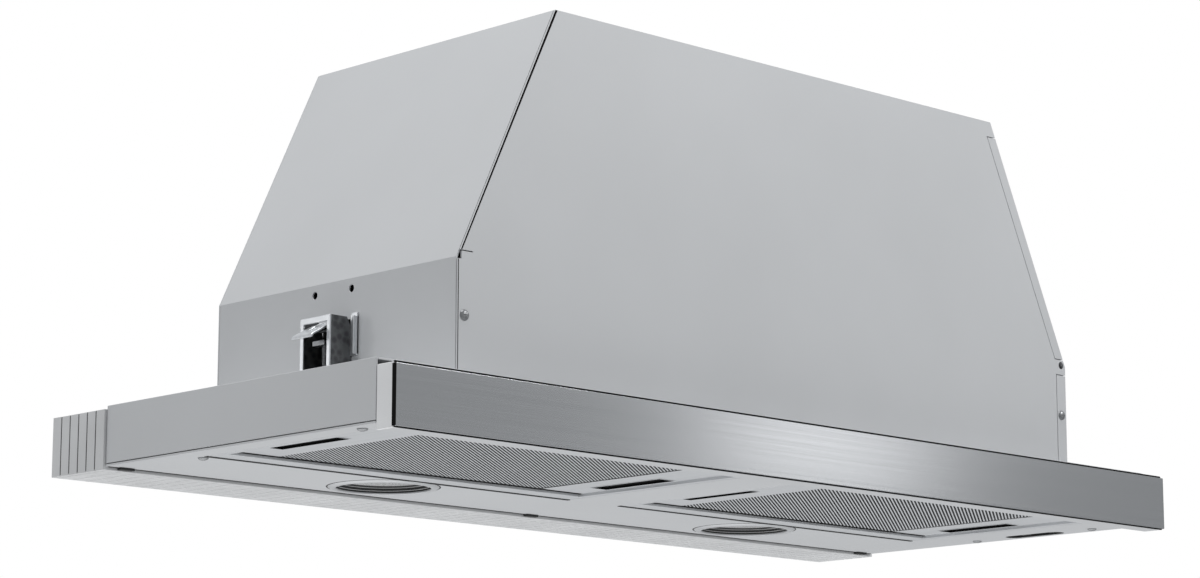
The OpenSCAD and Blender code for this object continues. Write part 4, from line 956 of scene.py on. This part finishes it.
def make_rivets():
    rivets = Shape()
    dome = [(AXIS_R, 0.0), (2.4, 0.0), (2.4, 0.25), (2.0, 0.7), (1.3, 1.0), (0.9, 1.05), (0.75, 0.7),
            (AXIS_R, 0.7)]
    for x, z in ((228, 45), (228, 82), (192, 168), (170, 217), (62, 43), (62, 222)):
        for side in (-1, 1):
            rivets.lathe(dome, (side * x, REAR_FACE_Y, z), "y", 32)
    for x, y in ((163, -101), (163, 65), (95, -101), (95, 65)):
        for side in (-1, 1):
            rivets.lathe(dome, (side * x, y, TOP_FACE_Z), "z", 32)
    make_piece("body_rivets", rivets, "housing", MATERIALS["zinc_steel"], smooth=30.0)


make_rivets()


# Sliders: a ridged thumb grip on a stem

def make_slider(name):
    (x0, y0, z0), (x1, y1, z1) = box_mm(f"{name}_slider")
    ridges, first = 4, y0 + 0.9
    knob = Shape()
    knob.prism([(x0, z0 + 1.0), (x0 + 0.8, z0 + 0.5), (x1 - 0.8, z0 + 0.5), (x1, z0 + 1.0), (x1, z0 + 4.4),
                (x0, z0 + 4.4)], y0, y1, "y")
    for step in range(ridges):
        y = first + step * (y1 - y0 - 1.8) / (ridges - 1)
        knob.prism([(y - 0.45, z0 + 0.6), (y - 0.2, z0), (y + 0.2, z0), (y + 0.45, z0 + 0.6)],
                   x0 + 0.5, x1 - 0.5, "x")
    knob.box((x0 + 1.6, y0 + 1.2, z0 + 4.3), (x1 - 1.6, y1 - 1.2, z1))
    make_piece(f"{name}_grip", knob, f"{name}_switch", MATERIALS["grey_plastic"], [f"{name}_slider"],
               bevel=0.15)


make_slider("fan")
make_slider("light")


# Blower and electrics: parts that sit on the plain solids inside

def make_motor_details():
    low, high = box_mm("motor")
    face, radius = low[0], (high[2] - low[2]) / 2
    centre = (0.0, (low[1] + high[1]) / 2, (low[2] + high[2]) / 2)
    shell, vents, rib, bolt, vent = Shape(), Shape(), Shape(), Shape(), Shape()
    shell.lathe([(radius - 4.0, face), (radius - 4.0, face - 0.8), (radius - 1.5, face - 0.8),
                 (radius - 0.8, face)], centre, "x")
    shell.lathe([(6.0, face), (6.0, face - 1.2), (12.0, face - 1.2), (13.4, face - 0.4), (13.4, face)],
                centre, "x")
    rib.box((face - 0.7, 16.0, -1.1), (face + 0.1, 36.0, 1.1))
    bolt.lathe([(AXIS_R, face - 2.0), (2.6, face - 2.0), (3.0, face - 1.6), (3.0, face), (AXIS_R, face)],
               (0.0, 31.0, 0.0), "x", 6)
    vent.box((face + 20.0, radius - 0.5, -2.2), (face + 27.0, radius + 0.05, 2.2))
    for turn in turns(12):
        shell.moved(rib, about_x(turn), centre)
    for turn in turns(4, math.pi / 12):
        shell.moved(bolt, about_x(turn), centre)
    for turn in turns(18):
        vents.moved(vent, about_x(turn), centre)
    for fin in range(5):
        x = face + 45.0 + fin * 3.2
        shell.lathe([(radius - 0.3, x), (radius + 1.2, x + 0.3), (radius + 1.2, x + 1.1),
                     (radius - 0.3, x + 1.4)], centre, "x")
    make_piece("motor_end_and_fins", shell, "housing", MATERIALS["dull_zinc_and_shade"], bevel=0.12)
    # The vents are near-black boxes: painted shade in the openings
    make_piece("motor_vent_shade", vents, "housing", PAINTED_SHADE_BLACK)


def make_capacitor_details():
    low, high = box_mm("capacitor")
    x, y, foot, top = (low[0] + high[0]) / 2, (low[1] + high[1]) / 2, low[2] + 5.0, high[2] - 6.0
    rim = Shape()
    rim.lathe([(12.6, top), (12.6, top + 0.6), (13.4, top + 0.9), (14.3, top + 0.7), (14.5, top),
               (14.5, top - 1.6), (14.0, top - 2.0), (13.0, top - 2.0)], (x, y, 0.0))
    rim.lathe([(13.6, foot), (14.0, foot), (14.35, foot + 0.4), (14.35, foot + 1.2), (14.0, foot + 1.6),
               (13.6, foot + 1.6)], (x, y, 0.0))
    for tab_x in (x - 7.5, x + 7.5):
        for tab_y in (y - 4.2, y + 4.2):
            rim.box((tab_x - 0.4, tab_y - 3.1, top - 0.1), (tab_x + 0.4, tab_y + 3.1, top + 5.6))
    make_piece("capacitor_rim_and_tabs", rim, "housing", MATERIALS["pale_zinc"],
               bevel=0.15)


def make_terminal_screws():
    low, high = box_mm("terminal_block")
    screws, head = Shape(), cross_head(2.0, 0.8)
    for way in (1, 2, 3):
        x = low[0] + (high[0] - low[0]) * way / 4
        screws.moved(head, None, (x, (low[1] + high[1]) / 2, high[2] - 7.9))
    make_piece("terminal_screws", screws, "housing", MATERIALS["pale_zinc"])


def make_board_details():
    """Five upright cans in a row, and three blocks with pins along both sides."""
    low, _ = box_mm("circuit_board")
    level, parts, pins = low[2] + 6.6, Shape(), Shape()
    can = [(AXIS_R, -0.1), (3.2, -0.1), (3.2, 1.2), (2.95, 1.5), (3.2, 1.8), (3.2, 10.6), (2.9, 11.0),
           (AXIS_R, 10.9)]
    for i in range(5):
        parts.lathe(can, (low[0] + 8.0 + i * 8.6, low[1] + 7.0, level), "z", 32)
    y, pins_a_side = low[1] + 4.0, 4
    for along, wide, deep, tall in ((50.0, 13.0, 7.0, 2.4), (66.0, 9.0, 5.0, 8.0), (78.0, 12.0, 6.0, 9.0)):
        x = low[0] + along
        parts.box((x, y, level - 0.1), (x + wide, y + deep, level + tall))
        for pin in range(pins_a_side):
            at = x + wide * (pin + 0.5) / pins_a_side
            for y0, y1 in ((y - 0.9, y + 0.1), (y + deep - 0.1, y + deep + 0.9)):
                pins.box((at - 0.35, y0, level - 0.1), (at + 0.35, y1, level + 1.2))
    make_piece("board_parts", parts, "housing", MATERIALS["black_plastic"], bevel=0.2)
    make_piece("board_pins", pins, "housing", MATERIALS["pale_zinc"])


make_motor_details()
make_capacitor_details()
make_terminal_screws()
make_board_details()


# Lights and surroundings

def area_light(name, place, target, size, power, size_y=None):
    data = bpy.data.lights.new(name, "AREA")
    data.shape = "RECTANGLE"
    data.size = size
    data.size_y = size_y or size
    data.energy = power
    light = bpy.data.objects.new(name, data)
    light.location = place
    light.rotation_mode = "QUATERNION"
    light.rotation_quaternion = (Vector(target) - Vector(place)).to_track_quat("-Z", "Y")
    bpy.context.scene.collection.objects.link(light)


AMBIENT, MIRRORED, SHOWN = 0.42, 0.52, 1.0  # strengths


def make_world():
    """Plain white for the camera, dimmer white in metal, and a soft level for all else."""
    world = bpy.data.worlds.new("studio")
    bpy.context.scene.world = world
    world.use_nodes = True
    tree = world.node_tree
    ambient = tree.nodes["Background"]
    mirrored = tree.nodes.new("ShaderNodeBackground")
    shown = tree.nodes.new("ShaderNodeBackground")
    for node, colour, strength in ((ambient, (0.95, 0.975, 1.0, 1.0), AMBIENT),
                                   (mirrored, (0.96, 0.98, 1.0, 1.0), MIRRORED),
                                   (shown, (1.0, 1.0, 1.0, 1.0), SHOWN)):
        node.inputs["Color"].default_value = colour
        node.inputs["Strength"].default_value = strength
    paths = tree.nodes.new("ShaderNodeLightPath")
    result = ambient.outputs["Background"]
    for ray, node in (("Is Glossy Ray", mirrored), ("Is Camera Ray", shown)):
        mix = tree.nodes.new("ShaderNodeMixShader")
        link(tree, paths.outputs[ray], mix.inputs["Fac"])
        link(tree, result, mix.inputs[1])
        link(tree, node.outputs["Background"], mix.inputs[2])
        result = mix.outputs["Shader"]
    link(tree, result, tree.nodes["World Output"].inputs["Surface"])


FLOOR_Z, FLOOR_REACH = -4.6, 30.0


def make_floor():
    mesh = bpy.data.meshes.new("floor")
    outline = corners((-FLOOR_REACH, -FLOOR_REACH), (FLOOR_REACH, FLOOR_REACH))
    mesh.from_pydata([(x, y, FLOOR_Z) for x, y in outline], [], [(0, 1, 2, 3)])
    floor = bpy.data.objects.new("floor", mesh)
    bpy.context.scene.collection.objects.link(floor)
    material, tree, shader = new_material("floor_pale")
    speckle = noise(tree, EVEN, detail=3.0, size=4.0)
    link(tree, colour_mix(tree, speckle, (0.82, 0.82, 0.82), (0.86, 0.86, 0.86)), shader.inputs["Base Color"])
    shader.inputs["Roughness"].default_value = 0.7
    mesh.materials.append(material)


make_world()
make_floor()
# Name, place and target in metres, width, power in watts and, where it differs, height
area_light("key_right", (1.12, -1.15, 0.55), (0.0, -0.1, 0.12), 0.2, 0.82, 0.8)
area_light("key_high", (0.95, -1.4, 1.05), (0.1, -0.1, 0.15), 0.5, 12.0)
area_light("above", (-0.8, 0.1, 2.6), (-0.1, 0.0, 0.15), 1.2, 56.0)
area_light("left_low", (-1.9, 1.7, 0.25), (-0.24, 0.0, 0.05), 0.35, 2.2)
area_light("under_front", (0.45, -0.7, -1.9), (0.0, 0.0, 0.0), 2.4, 16.0)
area_light("under_rear", (-0.3, 0.9, -1.9), (0.0, 0.0, 0.0), 2.4, 22.0)

bpy.context.scene.view_settings.view_transform = "Standard"
